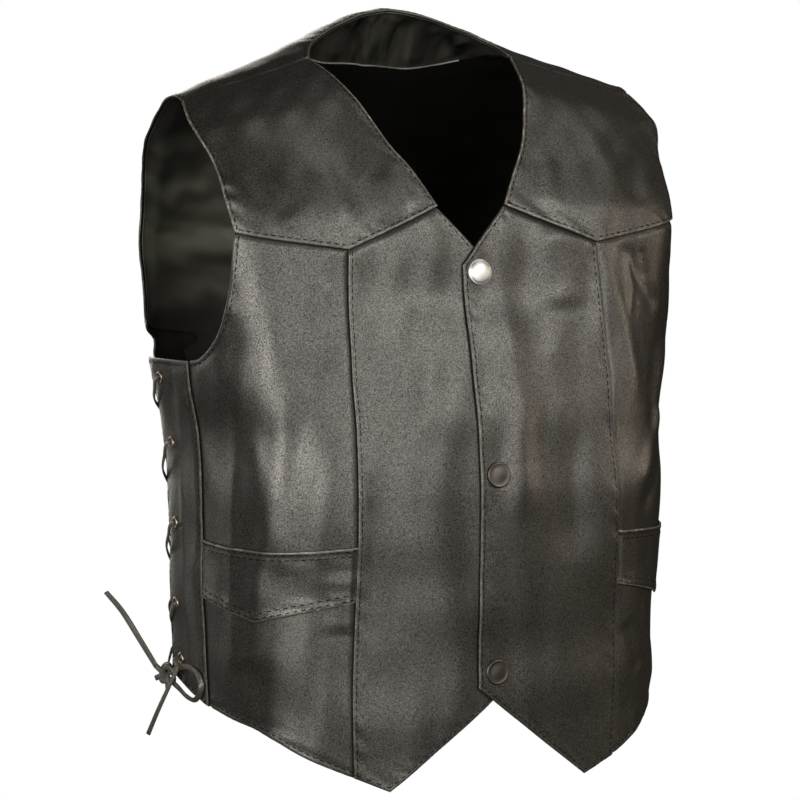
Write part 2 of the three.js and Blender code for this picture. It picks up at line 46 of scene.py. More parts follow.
draws = np.random.default_rng(7)

view = {"azimuth": -28, "elevation": 5.5, "distance": 3.0, "frameWidth": 0.536,
        "aimHeight": -0.229, "aimShift": -0.0067, "floor": -0.9}


def newObject(name, data):
    made = bpy.data.objects.new(name, data)
    bpy.context.collection.objects.link(made)
    return made


def aimFrom(name, data, aim, turn, rise, distance):  # a camera or light that looks at the aim
    turn, rise = math.radians(turn), math.radians(rise)
    away = Vector((math.sin(turn) * math.cos(rise), -math.cos(turn) * math.cos(rise), math.sin(rise)))
    made = newObject(name, data)
    made.location = aim + away * distance
    made.rotation_mode = "QUATERNION"
    made.rotation_quaternion = (-away).to_track_quat("-Z", "Y")
    return made


def placeCamera():
    turn = math.radians(view["azimuth"])
    right = Vector((math.cos(turn), math.sin(turn), 0))
    aim = Vector((0, 0, view["aimHeight"])) + right * view["aimShift"]
    data = bpy.data.cameras.new("camera")
    data.sensor_width = 36
    data.lens = data.sensor_width * view["distance"] / view["frameWidth"]
    data.clip_end = 60
    bpy.context.scene.camera = aimFrom("camera", data, aim, view["azimuth"], view["elevation"],
                                       view["distance"])


placeCamera()

lights = {  # turn and rise of each soft box in degrees, distance and size in metres, power in watts
    "front": {"turn": 0, "rise": 5, "distance": 3.4, "size": 2.2, "power": 58},
    "side": {"turn": -51, "rise": 8, "distance": 3.0, "size": 1.6, "power": 80},
    "placket": {"turn": 28, "rise": 23, "distance": 3.3, "size": 0.7, "power": 28},
    "far": {"turn": 64, "rise": 7, "distance": 3.2, "size": 0.8, "power": 14, "tint": (1, 0.84, 0.66)},
    "lacing": {"turn": -128, "rise": 2, "distance": 3.0, "size": 1.0, "power": 10},
    "top": {"turn": 60, "rise": 62, "distance": 2.6, "size": 1.4, "power": 11},
    "back": {"turn": 172, "rise": 10, "distance": 2.8, "size": 1.8, "power": 34},
}


def hangLights():
    for name, row in lights.items():
        data = bpy.data.lights.new(name, "AREA")
        data.shape = "SQUARE"
        data.size = row["size"]
        data.energy = row["power"]
        data.color = row.get("tint", (1, 0.95, 0.865))
        aimFrom(name, data, Vector((0, 0, view["aimHeight"])), row["turn"], row["rise"], row["distance"])


hangLights()
bpy.context.scene.view_settings.view_transform = "Standard"


def splitByRay(tree, lit, seen, output):  # the camera sees one shader, and light meets the other
    path = tree.nodes.new("ShaderNodeLightPath")
    mix = tree.nodes.new("ShaderNodeMixShader")
    for k, source in enumerate((path.outputs["Is Camera Ray"], lit.outputs[0], seen.outputs[0])):
        tree.links.new(source, mix.inputs[k])
    tree.links.new(mix.outputs[0], tree.nodes[output].inputs["Surface"])


def paintWorld():
    world = bpy.data.worlds.new("studio")
    bpy.context.scene.world = world
    world.use_nodes = True
    tree = world.node_tree
    background = tree.nodes["Background"]
    background.inputs["Color"].default_value = (1, 0.95, 0.86, 1)
    background.inputs["Strength"].default_value = 0.06
    white = tree.nodes.new("ShaderNodeBackground")
    white.inputs["Color"].default_value = (1, 1, 1, 1)
    splitByRay(tree, background, white, "World Output")


paintWorld()


def layFloor():
    mesh = bpy.data.meshes.new("floor")
    half, z = 30, view["floor"]
    mesh.from_pydata([(-half, -half, z), (half, -half, z), (half, half, z), (-half, half, z)],
                     [], [(0, 1, 2, 3)])
    floor = newObject("floor", mesh)
    paint = bpy.data.materials.new("paleFloor")
    paint.use_nodes = True
    tree = paint.node_tree
    shader = tree.nodes["Principled BSDF"]
    shader.inputs["Base Color"].default_value = (0.06, 0.058, 0.052, 1)
    shader.inputs["Roughness"].default_value = 0.9
    splitByRay(tree, shader, tree.nodes.new("ShaderNodeEmission"), "Material Output")
    mesh.materials.append(paint)


layFloor()
print("camera, light and floor are up")

finishes = {  # colours, range of roughness, and the scale of each finish's grain, weave or brush marks
    # In the leather, strip and thong finishes the lightest colour is painted highlight on grain tops and rub
    # with painted glints on folded edges, the darkest is painted shade in grain hollows and seams, and the
    # brown one is painted warm light on the wearer's left side.
    "leather": {"dark": (0.0052, 0.0046, 0.0028), "light": (0.0115, 0.0105, 0.0072),
                "hollow": (0.003, 0.0028, 0.002), "warmLightTint": (0.019, 0.0135, 0.0078),
                "edge": (0.4, 0.385, 0.34), "rough": (0.2, 0.3), "grain": 920, "bump": 0.45},
    "strip": {"dark": (0.0085, 0.0079, 0.0055), "light": (0.018, 0.017, 0.0125),
              "hollow": (0.003, 0.0028, 0.002), "warmLightTint": (0.02, 0.016, 0.011),
              "edge": (0.14, 0.135, 0.115), "rough": (0.28, 0.38), "grain": 950, "bump": 0.5},
    # The satin's and the facing's stretched streaks between their dark and light colours are painted sheen.
    "satin": {"dark": (0.02, 0.021, 0.016), "light": (0.06, 0.063, 0.051), "rough": (0.32, 0.42),
              "weave": 2600, "toneAndSheen": (9, 9, 40)},
    "facing": {"dark": (0.005, 0.0052, 0.0043), "light": (0.05, 0.051, 0.044), "rough": (0.2, 0.3),
               "weave": 2600, "toneAndSheen": (75, 30, 9)},
    # The black lining is painted shade: a black sheet laid in the middle of the lining, where the inside
    # lies in shade.
    "blackLining": {"dark": (0.0022, 0.0022, 0.002), "light": (0.0042, 0.0042, 0.0038),
                    "rough": (0.8, 0.9), "weave": 2200, "gloss": 0.08},
    "flesh": {"dark": (0.004, 0.0038, 0.003), "light": (0.01, 0.0095, 0.0075), "rough": (0.75, 0.9),
              "weave": 1400, "gloss": 0.15},
    "piping": {"dark": (0.09, 0.092, 0.085), "light": (0.22, 0.225, 0.21), "rough": (0.4, 0.5),
               "weave": 1500},
    "thong": {"dark": (0.05, 0.046, 0.038), "light": (0.1, 0.096, 0.082),
              "hollow": (0.02, 0.019, 0.016), "warmLightTint": (0.12, 0.11, 0.09),
              "edge": (0.26, 0.25, 0.22), "rough": (0.42, 0.58), "grain": 1700, "bump": 0.5},
    "thread": {"dark": (0.001, 0.001, 0.001), "light": (0.004, 0.0038, 0.0033), "rough": (0.75, 0.85),
               "weave": 3000, "gloss": 0.15},
    "nickel": {"dark": (0.055, 0.051, 0.046), "light": (0.1, 0.094, 0.084), "rough": (0.36, 0.46),
               "brush": (900, 60)},
    "polished": {"dark": (0.5, 0.51, 0.52), "light": (0.68, 0.69, 0.7), "rough": (0.42, 0.5),
                 "brush": (500, 80)},
    "bronze": {"dark": (0.3, 0.23, 0.17), "light": (0.58, 0.49, 0.39), "rough": (0.24, 0.4),
               "brush": (400, 400)},
}


def makeGroup(name, inputs, outputs):
    group = bpy.data.node_groups.new(name, "ShaderNodeTree")
    for label, value in inputs.items():
        socket = group.interface.new_socket(label, in_out="INPUT", socket_type="NodeSocketFloat")
        socket.default_value = value
    for label in outputs:
        group.interface.new_socket(label, in_out="OUTPUT", socket_type="NodeSocketFloat")
    return group, group.nodes.new("NodeGroupInput"), group.nodes.new("NodeGroupOutput")


def addNode(tree, kind, settings=None, **values):
    node = tree.nodes.new("ShaderNode" + kind)
    for key, value in (settings or {}).items():
        setattr(node, key, value)
    fillSockets(tree, [node.inputs[label.replace("_", " ")] for label in values], values.values())
    return node


def fillSockets(tree, sockets, values):  # links a socket, or sets a plain number
    for socket, value in zip(sockets, values):
        if isinstance(value, bpy.types.NodeSocket):
            tree.links.new(value, socket)
        else:
            socket.default_value = value


def mathNode(tree, operation, *values):
    node = tree.nodes.new("ShaderNodeMath")
    node.operation = operation
    fillSockets(tree, node.inputs, values)
    return node.outputs[0]


def vectorNode(tree, operation, first, second):
    node = tree.nodes.new("ShaderNodeVectorMath")
    node.operation = operation
    fillSockets(tree, node.inputs, (first, second))
    return node.outputs[0]


def objectPlace(tree):
    return addNode(tree, "TexCoord").outputs["Object"]


def pebbleGrain():  # fine pebbles of two sizes with creases between them
    outputs = ("Height", "Hollow", "Top", "Pebble")
    group, given, result = makeGroup("pebbleGrain", {"Scale": 1100.0}, outputs)
    place = objectPlace(group)
    bend = addNode(group, "TexNoise", Vector=place, Scale=260.0, Detail=2.0)
    offset = vectorNode(group, "MULTIPLY", bend.outputs["Color"], (0.0016, 0.0016, 0.0016))
    cells = addNode(group, "TexVoronoi", {"feature": "DISTANCE_TO_EDGE"},
                    Vector=vectorNode(group, "ADD", place, offset), Scale=given.outputs["Scale"])
    dome = addNode(group, "MapRange", {"interpolation_type": "SMOOTHSTEP"}, Value=cells.outputs[0],
                   From_Max=0.3)
    coarse = addNode(group, "TexNoise", Vector=place, Scale=1120.0, Detail=1.5, Roughness=0.6)
    fine = addNode(group, "TexNoise", Vector=place, Scale=2400.0, Detail=2.0)
    high = mathNode(group, "MULTIPLY", dome.outputs[0], 0.4)
    high = mathNode(group, "MULTIPLY_ADD", coarse.outputs["Fac"], 2.2, high)
    high = mathNode(group, "MULTIPLY_ADD", fine.outputs["Fac"], 0.35, high)
    group.links.new(high, result.inputs["Height"])
    group.links.new(mathNode(group, "SUBTRACT", 1.0, dome.outputs[0]), result.inputs["Hollow"])
    crown = addNode(group, "MapRange", Value=coarse.outputs["Fac"], From_Min=0.47, From_Max=0.63)
    pebble = addNode(group, "MapRange", Value=coarse.outputs["Fac"], From_Min=0.3, From_Max=0.7)
    group.links.new(pebble.outputs[0], result.inputs["Pebble"])
    group.links.new(mathNode(group, "MULTIPLY", crown.outputs[0], dome.outputs[0]), result.inputs["Top"])
    return group


def wornPatches():  # broad rubbed areas and small scuffs
    group, given, result = makeGroup("wornPatches", {"Size": 14.0}, ("Patch", "Scuff"))
    place = objectPlace(group)
    broad = addNode(group, "TexNoise", Vector=place, Scale=given.outputs["Size"], Detail=4.0, Roughness=0.55)
    patch = addNode(group, "MapRange", Value=broad.outputs["Fac"], From_Min=0.32, From_Max=0.68)
    small = addNode(group, "TexNoise", Vector=place, Scale=170.0, Detail=5.0, Roughness=0.7)
    scuff = addNode(group, "MapRange", Value=small.outputs["Fac"], From_Min=0.52, From_Max=0.76)
    group.links.new(patch.outputs[0], result.inputs["Patch"])
    group.links.new(scuff.outputs[0], result.inputs["Scuff"])
    return group


def satinWeave():
    inputs = {"Scale": 2600.0, "Across": 55.0, "Deep": 55.0, "Down": 55.0}
    group, given, result = makeGroup("satinWeave", inputs, ("Height", "ToneAndSheen"))
    place = objectPlace(group)
    waves = addNode(group, "TexWave", {"wave_type": "BANDS", "bands_direction": "DIAGONAL"}, Vector=place,
                    Scale=given.outputs["Scale"], Distortion=1.2)
    stretch = addNode(group, "CombineXYZ", X=given.outputs["Across"], Y=given.outputs["Deep"],
                      Z=given.outputs["Down"])
    scaled = vectorNode(group, "MULTIPLY", place, stretch.outputs[0])
    # streaks of tone, stretched; on the satin and the facing they are painted sheen
    toneAndSheen = addNode(group, "TexNoise", Vector=scaled, Scale=1.0, Detail=2.0)
    spread = addNode(group, "MapRange", Value=toneAndSheen.outputs["Fac"], From_Min=0.36, From_Max=0.66)
    group.links.new(waves.outputs["Fac"], result.inputs["Height"])
    group.links.new(spread.outputs[0], result.inputs["ToneAndSheen"])
    return group


def brushMarks():
    group, given, result = makeGroup("brushMarks", {"Along": 900.0, "Across": 60.0}, ("Mark", "Tone"))
    place = objectPlace(group)
    stretch = addNode(group, "CombineXYZ", X=given.outputs["Along"], Y=given.outputs["Across"],
                      Z=given.outputs["Across"])
    scaled = vectorNode(group, "MULTIPLY", place, stretch.outputs[0])
    mark = addNode(group, "TexNoise", Vector=scaled, Scale=1.0, Detail=3.0)
    tone = addNode(group, "TexNoise", Vector=place, Scale=210.0, Detail=3.0)
    group.links.new(mark.outputs["Fac"], result.inputs["Mark"])
    group.links.new(tone.outputs["Fac"], result.inputs["Tone"])
    return group


grainGroup, wornGroup = pebbleGrain(), wornPatches()
weaveGroup, brushGroup = satinWeave(), brushMarks()


def useGroup(tree, group, **values):
    node = tree.nodes.new("ShaderNodeGroup")
    node.node_tree = group
    for label, value in values.items():
        node.inputs[label].default_value = value
    return node


def mixColour(tree, share, first, second):
    node = tree.nodes.new("ShaderNodeMix")
    node.data_type = "RGBA"
    colours = [(*value, 1) if isinstance(value, tuple) else value for value in (first, second)]
    fillSockets(tree, [node.inputs[k] for k in (0, 6, 7)], [share, *colours])  # the colour sockets
    return node.outputs[2]


def newPaint(name):
    paint = bpy.data.materials.new(name)
    paint.use_nodes = True
    return paint, paint.node_tree, paint.node_tree.nodes["Principled BSDF"]


wax = {"rough": 0.4, "index": 1.8, "inGrooves": 0.04, "leatherGloss": 0.3}  # the dressing on leather
# amounts for real wear and for painted light: highlights painted on grain tops, shade painted in grain
# hollows, glints painted on folded edges, warm light painted on the wearer's left side
wearAndPaintedLight = {"grainTopHighlight": 0.05, "grainHollowShade": 0.8, "scuffs": 1.1, "edges": 0.2, "warmLightAmount": 0.6,
        "hollowRough": 0.14, "grooveRough": 0.5, "grainDepth": 0.00022}


def attribute(tree, name):
    return addNode(tree, "Attribute", {"attribute_name": name}).outputs["Fac"]


def leatherPaint(name):
    look = finishes[name]
    paint, tree, shader = newPaint(name)
    worn = useGroup(tree, wornGroup)
    grain = useGroup(tree, grainGroup, Scale=float(look["grain"]))
    colour = mixColour(tree, worn.outputs["Patch"], look["dark"], look["light"])
    # painted warm light: browner and lighter towards the wearer's left side
    place = addNode(tree, "SeparateXYZ", Vector=objectPlace(tree))
    warmLightSide = addNode(tree, "MapRange", Value=place.outputs["X"], From_Min=-0.02, From_Max=0.16,
                      To_Max=wearAndPaintedLight["warmLightAmount"])
    colour = mixColour(tree, warmLightSide.outputs[0], colour, look["warmLightTint"])
    # painted highlight on the grain tops, and painted shade in the grain hollows
    grainHighlight = mathNode(tree, "MULTIPLY", grain.outputs["Top"], wearAndPaintedLight["grainTopHighlight"])
    colour = mixColour(tree, grainHighlight, colour, look["edge"])
    hollows = mathNode(tree, "MULTIPLY", grain.outputs["Hollow"], wearAndPaintedLight["grainHollowShade"])
    colour = mixColour(tree, hollows, colour, look["hollow"])
    # folded edges lightened: real rub and painted glints, more where scuffed
    scuffsAndGlint = mathNode(tree, "MULTIPLY_ADD", worn.outputs["Scuff"], wearAndPaintedLight["scuffs"], wearAndPaintedLight["edges"])
    rubbedAndGlinting = mathNode(tree, "MULTIPLY", attribute(tree, "foldedEdgeGlint"), scuffsAndGlint)
    colour = mixColour(tree, rubbedAndGlinting, colour, look["edge"])
    # painted shade in the seams, where a panel runs under its neighbour and along plain seams
    seamGrooveShade = attribute(tree, "seamGrooveShade")
    colour = mixColour(tree, seamGrooveShade, colour, look["hollow"])
    tree.links.new(colour, shader.inputs["Base Color"])
    low, high = look["rough"]
    rough = addNode(tree, "MapRange", Value=worn.outputs["Patch"], To_Min=high, To_Max=low)
    duller = mathNode(tree, "MULTIPLY_ADD", grain.outputs["Hollow"], wearAndPaintedLight["hollowRough"], rough.outputs[0])
    duller = mathNode(tree, "MULTIPLY_ADD", seamGrooveShade, wearAndPaintedLight["grooveRough"], duller)
    tree.links.new(duller, shader.inputs["Roughness"])
    waxed = addNode(tree, "MapRange", Value=seamGrooveShade, To_Min=1.0, To_Max=wax["inGrooves"])
    tree.links.new(mathNode(tree, "MULTIPLY", waxed.outputs[0], grain.outputs["Pebble"]),
                   shader.inputs["Coat Weight"])
    shader.inputs["Coat Roughness"].default_value = wax["rough"]
    shader.inputs["Coat IOR"].default_value = wax["index"]
    shader.inputs["Specular IOR Level"].default_value = wax["leatherGloss"]
    bump = addNode(tree, "Bump", Strength=look["bump"], Distance=wearAndPaintedLight["grainDepth"],
                   Height=grain.outputs["Height"])
    tree.links.new(bump.outputs[0], shader.inputs["Normal"])
    return paint


def clothPaint(name):
    look = finishes[name]
    paint, tree, shader = newPaint(name)
    across, deep, down = look.get("toneAndSheen", (55, 55, 55))
    weave = useGroup(tree, weaveGroup, Scale=float(look["weave"]), Across=float(across), Deep=float(deep),
                     Down=float(down))
    # tone streaks, which on the satin and the facing are painted sheen, then painted shade from the shade
    # values
    colour = mixColour(tree, weave.outputs["ToneAndSheen"], look["dark"], look["light"])
    shade = attribute(tree, "shade")
    colour = mixColour(tree, shade, colour, (0.0015, 0.0015, 0.001))
    tree.links.new(colour, shader.inputs["Base Color"])
    low, high = look["rough"]
    rough = addNode(tree, "MapRange", Value=weave.outputs["ToneAndSheen"], To_Min=low, To_Max=high)
    tree.links.new(mathNode(tree, "MULTIPLY_ADD", shade, 0.5, rough.outputs[0]), shader.inputs["Roughness"])
    bump = addNode(tree, "Bump", Strength=0.15, Distance=0.0002, Height=weave.outputs["Height"])
    shader.inputs["Specular IOR Level"].default_value = look.get("gloss", 0.42)
    tree.links.new(bump.outputs[0], shader.inputs["Normal"])
    return paint


def metalPaint(name):
    look = finishes[name]
    paint, tree, shader = newPaint(name)
    along, across = look["brush"]
    brush = useGroup(tree, brushGroup, Along=float(along), Across=float(across))
    tree.links.new(mixColour(tree, brush.outputs["Tone"], look["dark"], look["light"]),
                   shader.inputs["Base Color"])
    low, high = look["rough"]
    rough = addNode(tree, "MapRange", Value=brush.outputs["Mark"], To_Min=low, To_Max=high)
    tree.links.new(rough.outputs[0], shader.inputs["Roughness"])
    shader.inputs["Metallic"].default_value = 1.0
    bump = addNode(tree, "Bump", Strength=0.08, Distance=0.0002, Height=brush.outputs["Mark"])
    tree.links.new(bump.outputs[0], shader.inputs["Normal"])
    return paint


paints = {}
for name, look in finishes.items():
    mix = leatherPaint if "grain" in look else clothPaint if "weave" in look else metalPaint
    paints[name] = mix(name)
print("finishes are mixed")

# The form is a table of horizontal sections: chest and yokes in front, shoulder blades behind.
columns = ("run", "z", "tilt", "width", "depth", "power")
chestSections = [
    (0, 0, -26, 190, 0, 4),
    (26, -13, -25, 189, 23, 4),
    (49, -27, -20, 188, 41, 4),
    (88, -57, -10, 183, 63, 3.8),
    (111, -76, -5, 180, 74.5, 4),
    (147, -107, 0, 179, 86, 4.2),
    (187, -147, 0, 177.5, 92, 3.6),
]
bladeSections = [
    (0, 0, -26, 190, 0, 6),
    (13, 5.5, -29, 189, 12, 6),
    (25, 8, -34, 188, 25, 6),
    (38, 6, -41, 187, 40, 6),
    (54, -2, -44, 186, 55, 6),
    (76, -22, -38, 185, 70, 5.5),
    (106, -52, -26, 184, 82, 5),
    (150, -105, -8, 182, 90, 4.8),
    (190, -150, 0, 179, 92, 4),
]
bodyColumns = ("z", "width", "front", "back", "frontPower", "backPower")
bodySections = [
    (-194, 176.5, 104, 92, 2.9, 3.2),
    (-240, 169, 113, 89, 2.9, 3.0),
    (-283, 166.5, 118, 86, 3.0, 2.9),
    (-340, 164.5, 117, 87, 2.8, 2.9),
    (-400, 161.5, 115, 91, 2.8, 2.9),
    (-480, 160.5, 114, 95, 2.7, 2.9),
]
cut = {  # the same driving sizes as the solids
    "neckPoint": 75, "shoulderTip": 168, "underarm": -194, "runOffset": 40, "laceSeam": -22,
    "stripTop": 42, "stripBottom": 30, "laceGap": 15, "sideFoot": -405, "lapEdge": -10,
    "hemSide": -421, "hemTip": -471, "hemBack": -414, "yokeRise": 0.7, "lapRise": 1.15,
    "leather": 1.3, "bandLeather": 1.0, "bandGap": 0.9, "liningGap": 1.9, "lining": 0.6,
}


def tableOf(chest, front):
    rows = [dict(zip(columns, row)) for row in chest]
    for row in bodySections:
        row = dict(zip(bodyColumns, row))
        rows.append({"run": cut["runOffset"] - row["z"], "z": row["z"], "tilt": 0,
                     "width": row["width"], "depth": row["front" if front else "back"],
                     "power": row["frontPower" if front else "backPower"]})
    table = {key: np.array([row[key] for row in rows], float) for key in columns}
    table["slope"] = {key: slopes(table["run"], table[key]) for key in columns[1:]}
    return table


def slopes(run, value):  # flattened where a column turns back
    rise = np.diff(value) / np.diff(run)
    slope = np.zeros(len(value))
    slope[0], slope[-1] = rise[0], rise[-1]
    before, after = rise[:-1], rise[1:]
    same = before * after > 0
    slope[1:-1][same] = 2 * before[same] * after[same] / (before[same] + after[same])
    return slope


frontTable, backTable = tableOf(chestSections, True), tableOf(bladeSections, False)


def rowAt(table, run):
    run = np.asarray(run, float)
    i = np.clip(np.searchsorted(table["run"], run, side="left") - 1, 0, len(table["run"]) - 2)
    span = table["run"][i + 1] - table["run"][i]
    t = np.clip((run - table["run"][i]) / span, 0, 1)
    row = {}
    for key in columns[1:]:
        value, slope = table[key], table["slope"][key]
        row[key] = (value[i] * (1 + 2 * t) * (1 - t) ** 2 + slope[i] * span * t * (1 - t) ** 2
                    + value[i + 1] * t * t * (3 - 2 * t) - slope[i + 1] * span * t * t * (1 - t))
    return row


def runAt(z):
    return cut["runOffset"] - z


def shoulderShare(x):
    soft = lambda value: np.hypot(value, 25)
    return (soft(x) - soft(cut["neckPoint"])) / (soft(cut["shoulderTip"]) - soft(cut["neckPoint"]))


def formPoint(angle, run):  # angle 0 at the centre front, 90 at the left side, 180 at the back
    angle, run = np.broadcast_arrays(np.asarray(angle, float), np.asarray(run, float))
    wrapped = np.where(angle > 180, angle - 360, angle)
    turn = np.radians(np.abs(wrapped))
    front, rear = rowAt(frontTable, run), rowAt(backTable, run)
    row = {key: np.where(turn <= np.pi / 2, front[key], rear[key]) for key in columns[1:]}
    across, ahead = np.sin(turn), np.cos(turn)
    reach = (across ** row["power"] + np.abs(ahead) ** row["power"]) ** (-1 / row["power"])
    x = np.sign(wrapped) * row["width"] * reach * across
    y = -row["depth"] * reach * ahead
    return np.stack([x, y, row["z"] + row["tilt"] * shoulderShare(x)], -1)


def formAt(spots):
    return formPoint(spots[..., 0], spots[..., 1])


def unit(vectors):
    return vectors / np.linalg.norm(vectors, axis=-1, keepdims=True)


def formNormal(angle, run):
    step = 0.2
    around = formPoint(angle + step, run) - formPoint(angle - step, run)
    low = np.maximum(run, step)
    down = formPoint(angle, low + step) - formPoint(angle, low - step)
    return unit(np.cross(down, around))


def sectionAngle(table, share, run):
    power = rowAt(table, run)["power"]
    rest = (1 - abs(share) ** power) ** (1 / power)
    return math.degrees(math.atan2(share, rest))


def frontX(x, run):
    return (sectionAngle(frontTable, x / rowAt(frontTable, run)["width"], run), run)


def backX(x, run):
    return (180 - sectionAngle(backTable, x / rowAt(backTable, run)["width"], run), run)


def sideY(y, run):
    table = frontTable if y < 0 else backTable
    share = -y / rowAt(table, run)["depth"]
    return (90 - sectionAngle(table, share, run), run)


# Seam lines run over angle and run, for the wearer's left. The right side mirrors them.
def line(start, end):
    start, end = np.array(start, float), np.array(end, float)
    return lambda t: start + (end - start) * np.asarray(t, float)[..., None]


def spline(points):
    points = np.array(points, float)
    last = len(points) - 1
    fine = np.linspace(0, last, 60 * last + 1)
    i = np.minimum(fine.astype(int), last - 1)
    t = (fine - i)[:, None]
    p0, p1 = points[np.maximum(i - 1, 0)], points[i]
    p2, p3 = points[i + 1], points[np.minimum(i + 2, last)]
    v0, v1 = (p2 - p0) / 2, (p3 - p1) / 2
    path = (2 * p1 - 2 * p2 + v0 + v1) * t ** 3 + (3 * p2 - 3 * p1 - 2 * v0 - v1) * t ** 2 + v0 * t + p1
    gone = np.concatenate([[0], np.cumsum(np.linalg.norm(np.diff(path, axis=0), axis=1))])
    gone /= gone[-1]
    return lambda t: np.stack([np.interp(t, gone, path[:, 0]), np.interp(t, gone, path[:, 1])], -1)


def joined(split, first, second):
    def curve(t):
        t = np.asarray(t, float)
        near = first(np.clip(t / split, 0, 1))
        far = second(np.clip((t - split) / (1 - split), 0, 1))
        return np.where((t < split)[..., None], near, far)
    return curve


def mirrored(curve):
    return lambda t: curve(t) * (-1, 1) + (360, 0)


def acrossBack(curve):
    def whole(s):
        s = np.asarray(s, float)
        near, far = curve(np.clip(2 * s, 0, 1)), mirrored(curve)(np.clip(2 - 2 * s, 0, 1))
        return np.where((s <= 0.5)[..., None], near, far)
    return whole


def sideCurve(top, bottom):
    points = []
    for share in np.linspace(0, 1, 7):
        y, z = (a + (b - a) * share for a, b in zip(top, bottom))
        points.append(sideY(y, runAt(z)))
    return spline(points)


corner = {
    "neck": frontX(cut["neckPoint"], 0.3),
    "tip": frontX(cut["shoulderTip"], 0.3),
    "yokeNeck": frontX(24.7, 134),
    "yokePoint": frontX(91, runAt(-121)),
    "yokeArm": frontX(162.4, runAt(-109)),
    "lapTop": frontX(cut["lapEdge"], runAt(-133)),
    "lapFoot": frontX(cut["lapEdge"] - 2, runAt(-407)),
    "underarm": sideY(cut["laceSeam"], runAt(cut["underarm"])),
    "stripTop": sideY(cut["stripTop"], runAt(cut["underarm"] - 2)),
    "hemPoint": frontX(73, runAt(cut["hemTip"])),
    "hemPrincess": frontX(96, runAt(-461)),
    "hemSeam": sideY(cut["laceSeam"], runAt(cut["hemSide"])),
    "hemStrip": sideY(cut["stripBottom"], runAt(cut["sideFoot"])),
}
seam = {
    "shoulder": line(corner["neck"], corner["tip"]),
    "neckFront": spline([corner["neck"], frontX(69, 24), frontX(62.6, 49), frontX(49.5, 88),
                         frontX(36.5, 111), corner["yokeNeck"]]),
    "armYoke": spline([corner["tip"], frontX(171.7, 27), frontX(169.5, 68), frontX(165.5, 112),
                       corner["yokeArm"]]),
    "armSide": spline([corner["yokeArm"], frontX(164.6, 187), frontX(168.5, 214), sideY(-38, 230),
                       corner["underarm"]]),
    "lapTop": line(corner["lapTop"], corner["yokeNeck"]),
    "yokeInner": line(corner["yokeNeck"], corner["yokePoint"]),
    "yokeOuter": line(corner["yokePoint"], corner["yokeArm"]),
    "lap": line(corner["lapTop"], corner["lapFoot"]),
    "princess": spline([corner["yokePoint"], frontX(94, 228), frontX(95.2, 294), frontX(96, 350),
                        frontX(97.5, 440), corner["hemPrincess"]]),
    "laceSeam": sideCurve((cut["laceSeam"], cut["underarm"]), (cut["laceSeam"], cut["hemSide"])),
    "stripEdge": sideCurve((cut["stripTop"], cut["underarm"] - 2),
                           (cut["stripBottom"], cut["sideFoot"])),
    "hemCentre": line(corner["lapFoot"], corner["hemPoint"]),
    "hemPoint": line(corner["hemPoint"], corner["hemPrincess"]),
    "hemSide": spline([corner["hemPrincess"], frontX(124, runAt(-448)), frontX(140, runAt(-437)),
                       frontX(150, runAt(-430.5)), frontX(157, runAt(-426.5)), corner["hemSeam"]]),
    "backNeck": spline([backX(cut["neckPoint"], 0), backX(64, 17), backX(38, 28), backX(0, 33)]),
    "backShoulder": line(backX(cut["shoulderTip"], 0), backX(cut["neckPoint"], 0)),
    "facingFoot": spline([backX(97, 0), backX(88, 26), backX(64, 56), backX(34, 75), backX(0, 81)]),
}
backArm = [(0, cut["shoulderTip"]), (30, 169), (60, 168.5), (100, 166), (149, 165.5), (198, 169.5),
           (215, 171.5)]  # run and half width


def backOutline(armInset, sideInset, split, rise):
    inset = cut["laceGap"] + sideInset
    edge = sideCurve((cut["stripTop"] + inset, cut["underarm"] - 2),
                     (cut["stripBottom"] + inset, cut["sideFoot"] + rise))
    arm = [backX(x - armInset, run) for run, x in backArm]
    arm += [sideY(cut["stripTop"] + inset + 5, runAt(cut["underarm"] + 8)), edge(np.array(0.0))]
    left = joined(split, spline(arm), edge)
    hem = spline([edge(np.array(1.0)), backX(110, runAt(cut["hemBack"] + rise + 2)),
                  backX(0, runAt(cut["hemBack"] + rise))])
    return left, mirrored(left), hem


def attach(piece, slot, *nodes):
    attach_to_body(piece, "root")
    if nodes:
        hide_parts(*nodes)
    return piece


# One flat thong goes through the eyelets of each side and ends in a knot, a loop and two tails.
lacing = {"width": 3.9, "thick": 1.3, "outside": 3, "inside": -4.8, "edgeMargin": 2, "gap": 0.3,
          "steps": 14}
eyeletRows = [  # height, and depth of the front and the back one
    {"z": -208, "front": 21, "back": 68},
    {"z": -251, "front": 18, "back": 66},
    {"z": -304, "front": 17, "back": 63},
    {"z": -357, "front": 16, "back": 60},
    {"z": -394, "front": 14, "back": 58},
]
knot = {"place": (167.8, 26.5, -407), "wide": 5.2, "stretch": 1.1, "strap": 4.4, "thick": 2.2}
knotStub = (170.5, 39, -410)
laceToKnot = [(48, -398, 3.2), (38, -402, 4.6)]
loopRoute = [(167.4, 17.3, -402.5), (165.2, 7.5, -398.4), (165, -6, -398.2), (164.8, -15, -401.2),
             (164.6, -19, -408), (164.6, -14.7, -414.6), (164.4, -7.8, -418.4), (164.6, 4.5, -417.4),
             (165.6, 13, -413.6), (167, 17.6, -411)]
upperTailRoute = [(171.3, 36.8, -401.5), (176, 51.8, -385.5), (182, 67, -367.9), (187, 81.7, -356.6)]
lowerTailRoute = [(168.8, 10, -400), (171.5, 15, -411), (173, 30, -430), (173, 46, -448.5)]


def sidePlace(place, side):
    y, z, rise = place
    spot = sideY(y, runAt(z))
    return (formPoint(*spot) + formNormal(*spot) * rise) * (side, 1, 1)


def sideNormal(place, side):
    return formNormal(*sideY(place[0], runAt(place[1]))) * (side, 1, 1)


